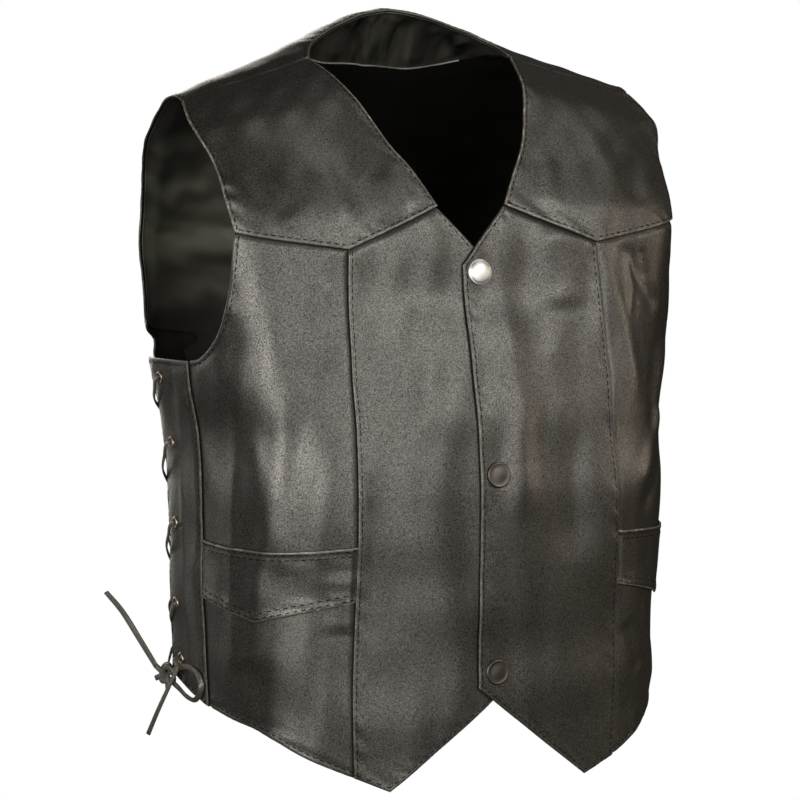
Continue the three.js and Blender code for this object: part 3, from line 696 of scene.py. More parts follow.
def stripEdgeAt(z):
    heights = (cut["sideFoot"], cut["underarm"] - 2)
    return float(np.interp(z, heights, (cut["stripBottom"], cut["stripTop"])))


def strand(startsInFront):  # out of an eyelet, over the gap, under the far edge and up again
    route = []
    for i, row in enumerate(eyeletRows):
        inFront = startsInFront == (i % 2 == 0)
        near = row["front"] if inFront else row["back"]
        route += [(near, row["z"], lacing["inside"]), (near, row["z"], lacing["outside"])]
        if i == len(eyeletRows) - 1:
            break
        after = eyeletRows[i + 1]
        far = after["back"] if inFront else after["front"]
        front = stripEdgeAt((row["z"] + after["z"]) / 2) - lacing["edgeMargin"]
        back = front + cut["laceGap"] + 2 * lacing["edgeMargin"]
        nearEdge, farEdge = (front, back) if inFront else (back, front)
        zAt = lambda y: row["z"] + (after["z"] - row["z"]) * (y - near) / (far - near)
        midway = (near + nearEdge) / 2
        route.append((midway, zAt(midway), lacing["outside"] + 0.4))
        route.append((nearEdge, zAt(nearEdge), lacing["outside"]))
        route.append((farEdge, zAt(farEdge), lacing["inside"]))
    return route


def smoothPath(points, steps):
    points = np.array(points, float)
    points = np.concatenate([[2 * points[0] - points[1]], points, [2 * points[-1] - points[-2]]])
    path = []
    for p0, p1, p2, p3 in zip(points, points[1:], points[2:], points[3:]):
        d0, d1, d2 = (math.sqrt(np.linalg.norm(b - a)) for a, b in ((p0, p1), (p1, p2), (p2, p3)))
        v1 = ((p1 - p0) / d0 - (p2 - p0) / (d0 + d1) + (p2 - p1) / d1) * d1
        v2 = ((p2 - p1) / d1 - (p3 - p1) / (d1 + d2) + (p3 - p2) / d2) * d1
        for t in np.arange(steps) / steps:
            path.append(p1 * (2 * t ** 3 - 3 * t ** 2 + 1) + v1 * (t ** 3 - 2 * t ** 2 + t)
                        + p2 * (3 * t ** 2 - 2 * t ** 3) + v2 * (t ** 3 - t ** 2))
    return np.array(path + [points[-2]])


def finishMesh(mesh, merge=0.0, shortest=0.0):  # joins doubled points, then turns and smooths faces
    build = bmesh.new()
    build.from_mesh(mesh)
    if merge:
        bmesh.ops.remove_doubles(build, verts=build.verts, dist=merge)
    if shortest:
        bmesh.ops.dissolve_degenerate(build, edges=build.edges, dist=shortest)
    bmesh.ops.recalc_face_normals(build, faces=build.faces)
    for face in build.faces:
        face.smooth = True
    build.to_mesh(mesh)
    build.free()


def meshPiece(name, verts, faces, paint):
    mesh = bpy.data.meshes.new(name)
    mesh.from_pydata([tuple(point) for point in np.array(verts) * mm], [], faces)
    mesh.materials.append(paint)
    finishMesh(mesh)
    return newObject(name, mesh)


def strapSection(width, thick):
    turns = np.linspace(0, 2 * np.pi, 14, endpoint=False) + np.pi / 14
    c, s = np.cos(turns), np.sin(turns)
    flat, high = np.sign(c) * np.abs(c) ** 0.55, np.sign(s) * np.abs(s) ** 0.75
    return np.stack([flat * width / 2, high * thick / 2], -1)


def strapRings(path, across, width, thick, slant=0.0):
    tangent = unit(np.gradient(path, axis=0))
    section = strapSection(width, thick)
    rings, before = [], None
    for i, (point, ahead, wide) in enumerate(zip(path, tangent, across)):
        wide = unit(wide - ahead * (wide @ ahead))
        if before is not None and wide @ before < 0:
            wide = -wide
        before = wide
        high = np.cross(ahead, wide)
        ring = point + section[:, :1] * wide + section[:, 1:] * high
        if slant and i == len(path) - 1:
            ring = ring + ahead * section[:, :1] * slant
        rings.append(ring)
    return rings


def ringFaces(count, size, first=0, closed=False):
    faces = []
    for i in range(count if closed else count - 1):
        for j in range(size):
            k, n = (j + 1) % size, (i + 1) % count
            faces.append((first + i * size + j, first + i * size + k, first + n * size + k,
                          first + n * size + j))
    if not closed:
        faces.append(tuple(first + j for j in range(size)))
        faces.append(tuple(first + (count - 1) * size + j for j in reversed(range(size))))
    return faces


def strapPiece(name, path, across, width, thick, slant=0.0):
    rings = strapRings(path, across, width, thick, slant)
    return meshPiece(name, np.concatenate(rings), ringFaces(len(rings), len(rings[0])), paints["thong"])


def evenly(values, count):
    values = np.array(values, float)
    spots = np.linspace(0, len(values) - 1, count)
    return np.stack([np.interp(spots, range(len(values)), values[:, k]) for k in range(3)], -1)


def sideName(label):
    return "_" + label.lower()


def addLacing(label, side):
    places = strand(True)[::-1]
    places += [(45, eyeletRows[0]["z"] + 1, lacing["inside"] - 0.6)] + strand(False) + laceToKnot
    points = np.array([sidePlace(place, side) for place in places])
    normals = np.array([sideNormal(place, side) for place in places])
    flow = np.zeros_like(points)
    for i, normal in enumerate(normals):
        ahead = points[min(i + 2, len(points) - 1)] - points[max(i - 2, 0)]
        flow[i] = unit(np.cross(normal, ahead - normal * (ahead @ normal)))
        if i and flow[i] @ flow[i - 1] < 0:
            flow[i] = -flow[i]
    path = smoothPath(points, lacing["steps"])
    piece = strapPiece("lacing" + label, path, evenly(flow, len(path)), lacing["width"], lacing["thick"])
    attach(piece, "leather_thong", "lacing" + sideName(label))


def addKnot(label, side):
    centre = np.array(knot["place"]) * (side, 1, 1)
    turns = np.linspace(0, 4 * np.pi, 150, endpoint=False)
    reach = knot["wide"] * (2 + np.cos(1.5 * turns)) / 2
    ring = np.stack([knot["wide"] * np.sin(1.5 * turns) / 2.4, reach * np.sin(turns),
                     -knot["stretch"] * reach * np.cos(turns)], -1) + centre
    ahead = unit(np.roll(ring, -1, axis=0) - np.roll(ring, 1, axis=0))
    wide = unit(np.cross(ahead, (side, 0, 0)))
    section = strapSection(knot["strap"], knot["thick"])
    high = np.cross(ahead, wide)
    rings = [point + section[:, :1] * w + section[:, 1:] * h for point, w, h in zip(ring, wide, high)]
    verts, size = list(np.concatenate(rings)), len(section)
    faces = ringFaces(len(rings), size, closed=True)
    place = lambda point: np.array(point) * (side, 1, 1)
    meets = [(place(knotStub), (0.1 * side, 0.3, 1)), (place(loopRoute[0]), (0, 0, 1)),
             (place(loopRoute[-1]), (0, 0, 1)), (place(upperTailRoute[0]), (0.35 * side, 0.55, -0.75)),
             (sidePlace(laceToKnot[1], side), (0, 0.3, 1))]
    for i, (end, wide) in enumerate(meets):
        bow = np.array((side * 0.8, 0, 0.6))
        path = smoothPath([centre, (centre + end) / 2 + bow, end], 6)
        rings = strapRings(path, np.tile(wide, (len(path), 1)), lacing["width"] - 0.1, lacing["thick"],
                           slant=0 if i else 0.3)
        faces += ringFaces(len(rings), size, len(verts))
        verts += list(np.concatenate(rings))
    piece = meshPiece("knot" + label, verts, faces, paints["thong"])
    return attach(piece, "leather_thong", "knot" + sideName(label))


def arcLengths(points):
    return np.linalg.norm(np.diff(points, axis=0), axis=-1).sum(0)


def addFreeCord(label, kind, points, across, farEnd):
    solid = {"loop": "lace_loop", "tailUpper": "lace_tail_upper", "tailLower": "lace_tail_lower"}[kind]
    path = smoothPath(points, 8)
    wide = evenly(across, len(path))
    slant = 0.45 if farEnd == "bare" else 0.0
    piece = strapPiece(kind + label, path, wide, lacing["width"], lacing["thick"], slant)
    attach(piece, "leather_thong", solid + sideName(label))


def addCords(label, side):
    place = lambda point: np.array(point, float) * (side, 1, 1)
    addLacing(label, side)
    knotPiece = addKnot(label, side)
    upper, loop, lower = ([place(point) for point in route]
                          for route in (upperTailRoute, loopRoute, lowerTailRoute))
    across = [(0.35 * side, 0.55, -0.75), (0.5 * side, 0.2, -0.8), (0.2 * side, 0.6, -0.8)]
    addFreeCord(label, "tailUpper", upper, across, "bare")
    across = [(0, 0, 1), (-0.1 * side, 0, 1), (-0.75 * side, -0.45, 0.25), (-0.2 * side, 0, -0.9),
              (0, 0, -1)]
    addFreeCord(label, "loop", loop, across, "object")
    last = eyeletRows[-1]
    start = [sidePlace((last["front"], last["z"], lacing["outside"] + rise), side)
             for rise in (lacing["gap"], 3)]
    across = [(0, 1, 0.2), (0, 0.9, 0.5), (0, 0.7, 0.7), (0.2 * side, 0.7, 0.6)]
    addFreeCord(label, "tailLower", start + lower, across, "bare")


for label, side in sides.items():
    addCords(label, side)
print("lacing is drawn")


def spotAt(across, x, z, low):  # the place of x and z on the front or the back, found by halving
    high = 560.0
    for _ in range(40):
        run = (low + high) / 2
        if formPoint(*across(abs(x), run))[2] > z:
            low = run
        else:
            high = run
    return formPoint(*across(abs(x), run)) * (math.copysign(1, x) if x else 1, 1, 1)


def sideSpot(y, z, side):
    return formPoint(*sideY(y, runAt(z))) * (side, 1, 1)


# Soft folds, given one by one: a path of places, half width and height, where a trough is negative.
foldDepth = 1.5  # multiplies the height of all of them
frontFolds = [  # x and z
    ([(-138, -205), (-141, -260), (-139, -330)], 9, 0.9),
    ([(-122, -150), (-127, -230), (-124, -300)], 13, -0.7),
    ([(-112, -140), (-108, -180)], 9, 0.8),
    ([(-150, -240), (-147, -300), (-149, -360)], 8, 0.9),
    ([(-159.5, -250), (-158.5, -330), (-156, -392)], 4, 0.5),
    ([(-70, -170), (-66, -260), (-72, -380)], 22, -0.8),
    ([(-40, -150), (-46, -250)], 18, 0.7),
    ([(-106, -325), (-105, -368)], 12, 1.0),
    ([(-152, -384), (-146, -440)], 14, -1.1),
    ([(17, -150), (22, -230), (20, -300)], 11, 1.6),
    ([(57, -108), (62, -166)], 15, 1.7),
    ([(60, -186), (66, -240), (64, -330)], 14, -1.5),
    ([(118, -127), (122, -150), (117, -172)], 3.5, 0.5),
    ([(131, -125), (137, -148)], 3.5, -0.45),
    ([(163, -192), (143, -228), (148, -285)], 6, 0.7),
    ([(156, -182), (134, -222), (138, -280)], 7, -0.5),
    ([(96, -125), (112, -175), (120, -230)], 8, 1.0),
    ([(112, -122), (132, -150), (150, -170)], 7, -1.0),
    ([(150, -230), (132, -262), (118, -285)], 7, 1.3),
    ([(156, -255), (138, -285), (120, -300)], 7, -1.2),
    ([(124, -360), (140, -395), (150, -425)], 7, 1.1),
    ([(108, -370), (124, -410)], 8, -0.9),
    ([(-126, -48), (-98, -78), (-84, -112)], 12, 0.8),
    ([(-150, -70), (-128, -100)], 9, -0.8),
    ([(-60, -70), (-44, -98)], 8, 0.9),
    ([(100, -40), (112, -80), (104, -112)], 11, 0.9),
    ([(140, -62), (128, -98)], 9, -0.9),
    ([(64, -62), (58, -100)], 9, 0.8),
]
backFolds = [  # x and z
    ([(-120, -60), (-90, -150), (-84, -260)], 16, 1.2),
    ([(118, -70), (96, -160), (90, -240)], 17, 1.1),
    ([(-40, -140), (-34, -260), (-44, -390)], 20, -1.0),
    ([(36, -180), (30, -300), (42, -400)], 22, -0.9),
    ([(-140, -250), (-100, -290), (-60, -300)], 10, 1.2),
    ([(142, -280), (104, -310), (66, -318)], 10, 1.2),
    ([(-110, -340), (-96, -408)], 12, 1.0),
    ([(116, -350), (100, -406)], 12, 0.9),
    ([(0, -20), (4, -90)], 18, -0.8),
]
sideFolds = [  # y and z, on each side
    ([(-4, -205), (2, -300), (-2, -400)], 7, 0.7),
    ([(-14, -215), (-12, -330)], 5, -0.5),
]
folds = [([spotAt(frontX, x, z, 0.0) for x, z in path], width, height)
         for path, width, height in frontFolds]
folds += [([spotAt(backX, x, z, 30.0) for x, z in path], width, height)
          for path, width, height in backFolds]
for side in sides.values():
    folds += [([sideSpot(y, z, side) for y, z in path], width, height)
              for path, width, height in sideFolds]


def smooth(value):
    value = np.clip(value, 0, 1)
    return value * value * (3 - 2 * value)


def bell(distance, width):
    return np.exp(-(distance / width) ** 2)


def foldHeight(points):
    height = np.zeros(points.shape[:-1])
    for path, width, amount in folds:
        path = np.array(path)
        near = np.full(points.shape[:-1], 1e9)
        gone, total = 0.0, np.linalg.norm(np.diff(path, axis=0), axis=1).sum()
        fade = np.zeros(points.shape[:-1])
        for start, end in zip(path[:-1], path[1:]):
            along = end - start
            length = np.linalg.norm(along)
            share = np.clip((points - start) @ along / length ** 2, 0, 1)
            distance = np.linalg.norm(points - (start + share[..., None] * along), axis=-1)
            here = (gone + share * length) / total
            closer = distance < near
            near = np.where(closer, distance, near)
            fade = np.where(closer, smooth(4 * np.minimum(here, 1 - here) + 0.15), fade)
            gone += length
        height += foldDepth * amount * fade * bell(near, width)
    return height


rippleKinds = ((0.055, 0.42, 6), (0.11, 0.24, 6), (0.2, 0.1, 6), (0.028, 0.4, 4))  # pace, height, count
ripples = [(draws.normal(0, 1, 3) * (1, 1, 0.38) * pace, draws.uniform(0, 6.28), size)
           for pace, size, count in rippleKinds for _ in range(count)]


def rippleHeight(points):  # slow unevenness of worn cloth
    height = np.zeros(points.shape[:-1])
    for wave, phase, size in ripples:
        height += size * np.sin(points @ wave + phase)
    return height


# A panel is a grid between its four borders, finer beside each of them.
edgeSteps = (0, 0.25, 0.55, 0.95, 1.5, 2.3, 3.2, 4.2)
panelLook = {"step": 2.4, "roll": 0.8, "foldRise": 0.7, "foldReach": 12, "foldBulge": 0.16,
             "bulgeIn": 1.9, "bulgeWide": 1.3, "stitchIn": 3.2, "stitchDip": 0.12, "stitchWide": 0.75,
             "pucker": 0.22, "puckerIn": 1.5, "puckerWide": 4, "plainDip": 0.6, "plainWide": 1.1,
             "tuck": 6, "tuckDip": 1.15, "tuckReach": 5.5, "leastThick": 0.25}


def gridShares(length, step, splits=()):
    fine = np.array(edgeSteps) / length
    count = max(2, round((length - 2 * edgeSteps[-1]) / step))
    inner = np.linspace(fine[-1], 1 - fine[-1], count + 1)
    shares = np.concatenate([fine[:-1], inner, 1 - fine[-2::-1]])
    for place in splits:
        shares[np.abs(shares - place).argmin()] = place
    return np.sort(shares)


def patch(outline, s, t):
    top, bottom, inner, outer = (outline[key] for key in ("top", "bottom", "inner", "outer"))
    s2, t2 = s[None, :, None], t[:, None, None]
    one, zero = np.array(1.0), np.array(0.0)
    grid = inner(t)[:, None] * (1 - s2) + outer(t)[:, None] * s2
    grid = grid + top(s)[None] * (1 - t2) + bottom(s)[None] * t2
    grid = grid - top(zero) * (1 - s2) * (1 - t2) - top(one) * s2 * (1 - t2)
    return grid - bottom(zero) * (1 - s2) * t2 - bottom(one) * s2 * t2


def borderTree(spans, side):
    spots = np.concatenate([curve(np.linspace(low, high, 500)) for curve, low, high in spans])
    tree = KDTree(len(spots))
    for i, point in enumerate(formAt(spots) * (side, 1, 1)):
        tree.insert(point, i)
    tree.balance()
    return tree


def distanceTo(spans, points, side):
    if not spans:
        return np.full(points.shape[:-1], 1e3)
    tree = borderTree(spans, side)
    flat = points.reshape(-1, 3)
    found = np.array([tree.find(point)[2] for point in flat])
    return found.reshape(points.shape[:-1])


def spread(grid, border, mask):  # rows past a border, so the panel runs in under its neighbour
    swap = border in ("inner", "outer")
    rows = grid.transpose(1, 0, 2) if swap else grid
    if border in ("bottom", "outer"):
        rows = rows[::-1]
    edge, back = rows[0], rows[6]
    gap = formAt(edge) - formAt(back)
    length = np.linalg.norm(gap, axis=1)
    extra = [edge + (edge - back) * (panelLook["tuck"] * share * mask / length)[:, None]
             for share in (1, 0.6, 0.25)]
    rows = np.concatenate([np.array(extra), rows])
    if border in ("bottom", "outer"):
        rows = rows[::-1]
    return rows.transpose(1, 0, 2) if swap else rows


def gridMesh(name, outer, inner, paints, values):
    down, across = outer.shape[0], outer.shape[1]
    index = np.arange(down * across).reshape(down, across)
    a, b, c, d = index[:-1, :-1], index[1:, :-1], index[1:, 1:], index[:-1, 1:]
    count = down * across
    faces = np.stack([a, b, c, d], -1).reshape(-1, 4)
    back = np.stack([a, d, c, b], -1).reshape(-1, 4) + count
    ring = np.concatenate([index[0, :-1], index[:-1, -1], index[-1, :0:-1], index[:0:-1, 0]])
    onward = np.roll(ring, -1)
    wall = np.stack([ring, onward, onward + count, ring + count], -1)
    mesh = bpy.data.meshes.new(name)
    points = np.concatenate([outer.reshape(-1, 3), inner.reshape(-1, 3)]) * mm
    mesh.from_pydata(points.tolist(), [], np.concatenate([faces, back, wall]).tolist())
    for key, value in values.items():
        layer = mesh.attributes.new(key, "FLOAT", "POINT")
        flat = np.tile(value.reshape(-1), 2)
        layer.data.foreach_set("value", flat.astype(np.float32))
    for paint in paints:
        mesh.materials.append(paint)
    material = np.zeros(len(mesh.polygons), np.int32)
    if len(paints) > 1:
        material[len(faces):len(faces) + len(back)] = 1
    mesh.polygons.foreach_set("material_index", material)
    finishMesh(mesh, 2e-6, 1e-6)
    return newObject(name, mesh)


surfaces = {}  # finished outer surfaces, for seating what lies on them


tuckedRows = {"top": np.s_[:3], "bottom": np.s_[-3:], "inner": np.s_[:, :3], "outer": np.s_[:, -3:]}


def tuckUnder(grid, s, t, spans):  # adds rows past each border that a neighbour covers
    ramp = 0.05
    for border, low, high in spans:
        level = border in ("top", "bottom")
        along = s if level else t
        mask = np.clip((along - low) / ramp if low > 0 else 1, 0, 1)
        mask = mask * np.clip((high - along) / ramp if high < 1 else 1, 0, 1)
        grid = spread(grid, border, np.maximum(mask, 0) * np.ones(len(along)))
        more = (3, 0) if border in ("top", "inner") else (0, 3)
        if level:
            t = np.pad(t, more, mode="edge")
        else:
            s = np.pad(s, more, mode="edge")
    return grid, s


def edgeProfile(placed, stitchIn, loose, plain, below):  # rolled edge, sewing, puckers and tuck
    roll = panelLook["roll"]
    edge = np.clip(roll - loose, 0, roll)
    profile = -roll + np.sqrt(roll ** 2 - edge ** 2)
    profile += panelLook["foldBulge"] * bell(loose - panelLook["bulgeIn"], panelLook["bulgeWide"])
    profile -= panelLook["stitchDip"] * bell(loose - stitchIn, panelLook["stitchWide"])
    wave = placed @ np.array((0.33, 0.21, 0.29)) + 2.2 * np.sin(placed @ np.array((0.05, 0.08, 0.07)))
    drawn = bell(loose - stitchIn - panelLook["puckerIn"], panelLook["puckerWide"])
    profile += panelLook["pucker"] * np.sin(wave) * drawn
    profile -= panelLook["plainDip"] * bell(plain, panelLook["plainWide"])
    return profile - panelLook["tuckDip"] * (1 - smooth((below + 1) / panelLook["tuckReach"]))


def cloth(name, outline, look, side=1):
    # look: spans of each border that are free, folded over or tucked under, lift, thick, splits
    points = formAt(patch(outline, np.linspace(0, 1, 9), np.linspace(0, 1, 9)))
    wide = arcLengths(points.transpose(1, 0, 2)).max()
    tall = arcLengths(points).max()
    step = look.get("step", panelLook["step"])
    s = gridShares(wide, step, look.get("splitS", ()))
    t = gridShares(tall, step, look.get("splitT", ()))
    grid = patch(outline, s, t)
    shown = formAt(grid)
    grid, s = tuckUnder(grid, s, t, look.get("under", ()))
    angle, run = grid[..., 0], grid[..., 1]
    base = formPoint(angle, run)
    normal = formNormal(angle, run)
    mirror = np.array((side, 1, 1))
    placed = base * mirror
    curves = lambda key: [(outline[border], low, high) for border, low, high in look.get(key, ())]
    loose = distanceTo(curves("free") + curves("fold"), placed, side)
    folded = distanceTo(curves("fold"), placed, side)
    below = distanceTo(curves("under"), placed, side)
    plain = distanceTo(curves("plain"), placed, side)
    shift = foldHeight(placed) + rippleHeight(placed)
    height = shift + look["lift"](angle, run, base)
    foldRise = look.get("foldRise", panelLook["foldRise"])
    height = height + foldRise * (1 - smooth(folded / panelLook["foldReach"]))
    inside = np.ones(below.shape)
    for border, _, _ in look.get("under", ()):
        inside[tuckedRows[border]] = -1
    if look.get("thin"):
        profile = np.zeros(below.shape)
        lower = height - look["thick"]
    else:
        stitchIn = look.get("stitchIn", panelLook["stitchIn"])
        profile = edgeProfile(placed, stitchIn, loose, plain, below * inside)
        lower = height + np.minimum(profile, 0) * 0.4 - look["thick"]
        lower = np.minimum(lower, height + profile - panelLook["leastThick"])
    outer = (base + normal * (height + profile)[..., None]) * mirror
    inner = (base + normal * lower[..., None]) * mirror
    # paint values: rub with painted glints along free and folded edges, and painted shade in the seams
    # beside them
    values = {"foldedEdgeGlint": look.get("rubAndGlint", 1) * bell(loose - 0.6, 0.4) * (inside > 0),
              "across": np.broadcast_to(s, below.shape),
              "seamGrooveShade": bell(below, 1.5) + 0.9 * bell(plain, 0.7)}
    if "shade" in look:
        values["shade"] = look["shade"](placed)
    piece = gridMesh(name, outer, inner, look["paints"], values)
    surfaces[name] = BVHTree.FromObject(piece, bpy.context.evaluated_depsgraph_get())
    u, v = shown[1:, :-1] - shown[:-1, :-1], shown[:-1, 1:] - shown[:-1, :-1]
    area = np.linalg.norm(np.cross(u, v), axis=-1).sum() * mm * mm
    piece["cutWidth"] = round(float(arcLengths(shown.transpose(1, 0, 2)).max()) * mm, 3)
    piece["cutLength"] = round(float(arcLengths(shown).max()) * mm, 3)
    piece["cutArea"] = round(float(area), 4)
    return piece


def declareSheet(piece):
    flat = (piece["cutWidth"], piece["cutLength"])
    print("  cut", piece.name, flat, piece["cutArea"])


def yokeRise(angle, run, base):
    return cut["yokeRise"] * smooth(run / 60)


def overlap(side):  # the left front laps over the right one
    return lambda angle, run, base: side * cut["lapRise"] * (1 - smooth((base[..., 0] - 14) / 34))


def level(amount):
    return lambda angle, run, base: np.full(run.shape, float(amount))


threads = {"length": 3.2, "width": 0.8, "height": 0.3, "pitch": 4.7, "sink": 0.05, "inset": 3.2,
           "close": 2.5, "probe": 8}


def stitchShape():
    half, wide, high = threads["length"] / 2, threads["width"] / 2, threads["height"]
    turn = np.linspace(0, 2 * np.pi, 6, endpoint=False)
    rings = [np.stack([np.full(6, half * share), wide * size * np.cos(turn), high * size * np.sin(turn)], -1)
             for share, size in ((-1, 0.25), (-0.8, 0.8), (-0.3, 1), (0.3, 1), (0.8, 0.8), (1, 0.25))]
    return np.concatenate(rings), ringFaces(len(rings), 6)


stitchVerts, stitchFaces = stitchShape()
inwards = {"top": (0, 1), "bottom": (0, -1), "inner": (1, 0), "outer": (-1, 0)}


def stitchPlaces(name, outline, border, low, high, inset, side):
    spots = outline[border](np.linspace(low, high, 700))
    points = formAt(spots) * (side, 1, 1)
    gone = np.concatenate([[0], np.cumsum(np.linalg.norm(np.diff(points, axis=0), axis=1))])
    count = int((gone[-1] - 2 * inset) / threads["pitch"])
    if count < 1:
        return []
    middles = np.linspace(inset, gone[-1] - inset, count)
    share = np.interp(middles, gone, np.linspace(low, high, 700))
    spots = outline[border](share)
    step = 0.004
    s, t = {"top": (share, 0 * share), "bottom": (share, 0 * share + 1), "inner": (0 * share, share),
            "outer": (0 * share + 1, share)}[border]
    moveS, moveT = inwards[border]
    inside = np.array([patch(outline, np.array([a + moveS * step]), np.array([b + moveT * step]))[0, 0]
                       for a, b in zip(s, t)])
    point = formAt(spots) * (side, 1, 1)
    toward = formAt(inside) * (side, 1, 1) - point
    normal = formNormal(spots[:, 0], spots[:, 1]) * (side, 1, 1)
    tangent = unit(np.gradient(point, axis=0) if count > 1 else np.roll(toward, 1, axis=1))
    toward -= tangent * (toward * tangent).sum(1, keepdims=True)
    toward -= normal * (toward * normal).sum(1, keepdims=True)
    toward = unit(toward)
    places = []
    for p, along, into, out in zip(point, tangent, toward, normal):
        aim = Vector((p + into * inset + out * threads["probe"]) * mm)
        hit, face, _, _ = surfaces[name].ray_cast(aim, Vector(-out), 2 * threads["probe"] * mm)
        if hit is None:
            continue
        places.append((np.array(hit) / mm, along, np.array(face) * np.sign(np.array(face) @ out)))
    return places


def sewRows(name, outline, rows, side):
    verts, faces = [], []
    for border, low, high, inset in rows:
        for place, along, out in stitchPlaces(name, outline, border, low, high, inset, side):
            along = unit(along - out * (along @ out))
            wide = np.cross(out, along)
            lean = draws.normal(0, 0.05)
            along, wide = along + wide * lean, wide - along * lean
            ring = place - out * threads["sink"] + stitchVerts @ np.stack([along, wide, out])
            faces += [tuple(len(verts) + k for k in face) for face in stitchFaces]
            verts += list(ring)
    piece = meshPiece("thread" + name[0].upper() + name[1:], verts, faces, paints["thread"])
    return attach(piece, "black_leather")


def borders(*rows):
    return [(row[0], *(row[1:] or (0, 1))) for row in rows]


def addPanel(name, solid, outline, look, side, rows, slot="black_leather"):
    piece = cloth(name, outline, look, side)
    attach(piece, slot, solid)
    if rows:
        sewRows(name, outline, rows, side)
    declareSheet(piece)
    return piece


frontLook = {"thick": cut["leather"], "paints": [paints["leather"], paints["flesh"]], "step": 1.7}


def addYoke(label, side):
    close = threads["close"]
    yoke = {"top": seam["shoulder"], "bottom": joined(1 / 2, seam["yokeInner"], seam["yokeOuter"]),
            "inner": seam["neckFront"], "outer": seam["armYoke"]}
    look = {**frontLook, "lift": yokeRise, "rubAndGlint": 1.2, "fold": borders(("bottom",)),
            "free": borders(("inner",), ("outer",)), "plain": borders(("top",)), "splitS": (0.5,),
            "stitchIn": close}
    rows = [("bottom", 0.01, 0.49, close), ("bottom", 0.51, 0.99, close), ("inner", 0.03, 1, close),
            ("outer", 0.03, 1, close)]
    addPanel("frontYoke" + label, "front_yoke" + sideName(label), yoke, look, side, rows)


def addCentreFront(label, side):
    close = threads["close"]
    centre = {"top": joined(0.3, seam["lapTop"], seam["yokeInner"]),
              "bottom": joined(0.8, seam["hemCentre"], seam["hemPoint"]),
              "inner": seam["lap"], "outer": seam["princess"]}
    look = {**frontLook, "lift": overlap(side), "rubAndGlint": 0.25, "fold": borders(("outer",)),
            "free": borders(("inner",), ("bottom",), ("top", 0, 0.3)), "under": borders(("top", 0.3, 1)),
            "splitS": (0.3, 0.8), "stitchIn": close}
    rows = [("outer", 0, 1, close), ("inner", 0, 1, close), ("bottom", 0, 0.8, close),
            ("bottom", 0.8, 1, close), ("top", 0, 0.29, close)]
    addPanel("centreFront" + label, "centre_front" + sideName(label), centre, look, side, rows)


def addSideFront(label, side):
    armShare = 5 / 18
    outline = {"top": seam["yokeOuter"], "bottom": seam["hemSide"], "inner": seam["princess"],
                   "outer": joined(armShare, seam["armSide"], seam["laceSeam"])}
    look = {**frontLook, "lift": level(0), "rubAndGlint": 0.25, "free": borders(("bottom",), ("outer", 0, armShare)),
            "under": borders(("top",), ("inner",), ("outer", armShare, 1)), "splitT": (armShare,)}
    rows = [("bottom", 0, 1, threads["inset"]), ("outer", 0, armShare, threads["inset"])]
    addPanel("sideFront" + label, "side_front" + sideName(label), outline, look, side, rows)


bandRows = (2.3, 5.6)  # the doubled stitch rows, in from the edge


def addPocketBand(label, side):
    top = spline([frontX(96, runAt(-310)), frontX(146, runAt(-313)), sideY(cut["laceSeam"], runAt(-310.5))])
    point, dip = frontX(148.5, runAt(-360)), 4 / 9
    bottom = joined(dip, line(frontX(96.6, runAt(-346)), point),
                    line(point, sideY(cut["laceSeam"], runAt(-347))))
    ends = [line(top(np.array(float(k))), bottom(np.array(float(k)))) for k in (0, 1)]
    outline = {"top": top, "bottom": bottom, "inner": ends[0], "outer": ends[1]}

    def settle(angle, run, base):  # down into the seams at both ends
        near = distanceTo([(end, 0, 1) for end in ends], base, 1)
        return cut["bandLeather"] + cut["bandGap"] - 1.9 * (1 - smooth(near / 5))

    look = {"thick": cut["bandLeather"], "paints": [paints["leather"]], "step": 1.5, "lift": settle,
            "free": borders(("top",)), "fold": borders(("bottom",)), "splitS": (dip,), "foldRise": 0.55,
            "rubAndGlint": 0.9}
    near, far = bandRows
    rows = [("top", 0, 1, near), ("top", 0, 1, far), ("bottom", 0, dip, near), ("bottom", dip, 1, near),
            ("bottom", 0, dip, far), ("bottom", dip, 1, far)]
    addPanel("pocketBand" + label, "pocket_band" + sideName(label), outline, look, side, rows)


def addLaceStrip(label, side):
    outline = {"top": line(corner["underarm"], corner["stripTop"]),
               "bottom": line(corner["hemSeam"], corner["hemStrip"]),
               "inner": seam["laceSeam"], "outer": seam["stripEdge"]}
    look = {**frontLook, "paints": [paints["strip"], paints["flesh"]], "lift": level(0),
            "free": borders(("top",), ("bottom",), ("outer",)),
            "fold": borders(("inner",))}
    piece = cloth("laceStrip" + label, outline, look, side)
    cutEyelets(piece, [(side, row["front"], row["z"]) for row in eyeletRows])
    attach(piece, "black_leather", "lace_strip" + sideName(label))
    rows = [(border, low, 1, threads["inset"])
            for border, low in (("outer", 0), ("top", 0.1), ("bottom", 0.1), ("inner", 0))]
    sewRows("laceStrip" + label, outline, rows, side)
    declareSheet(piece)


hole = {"cut": 3.4, "bore": 2.6, "barrel": 3.1, "flange": 4.3, "bottom": -2.2, "segments": 36}


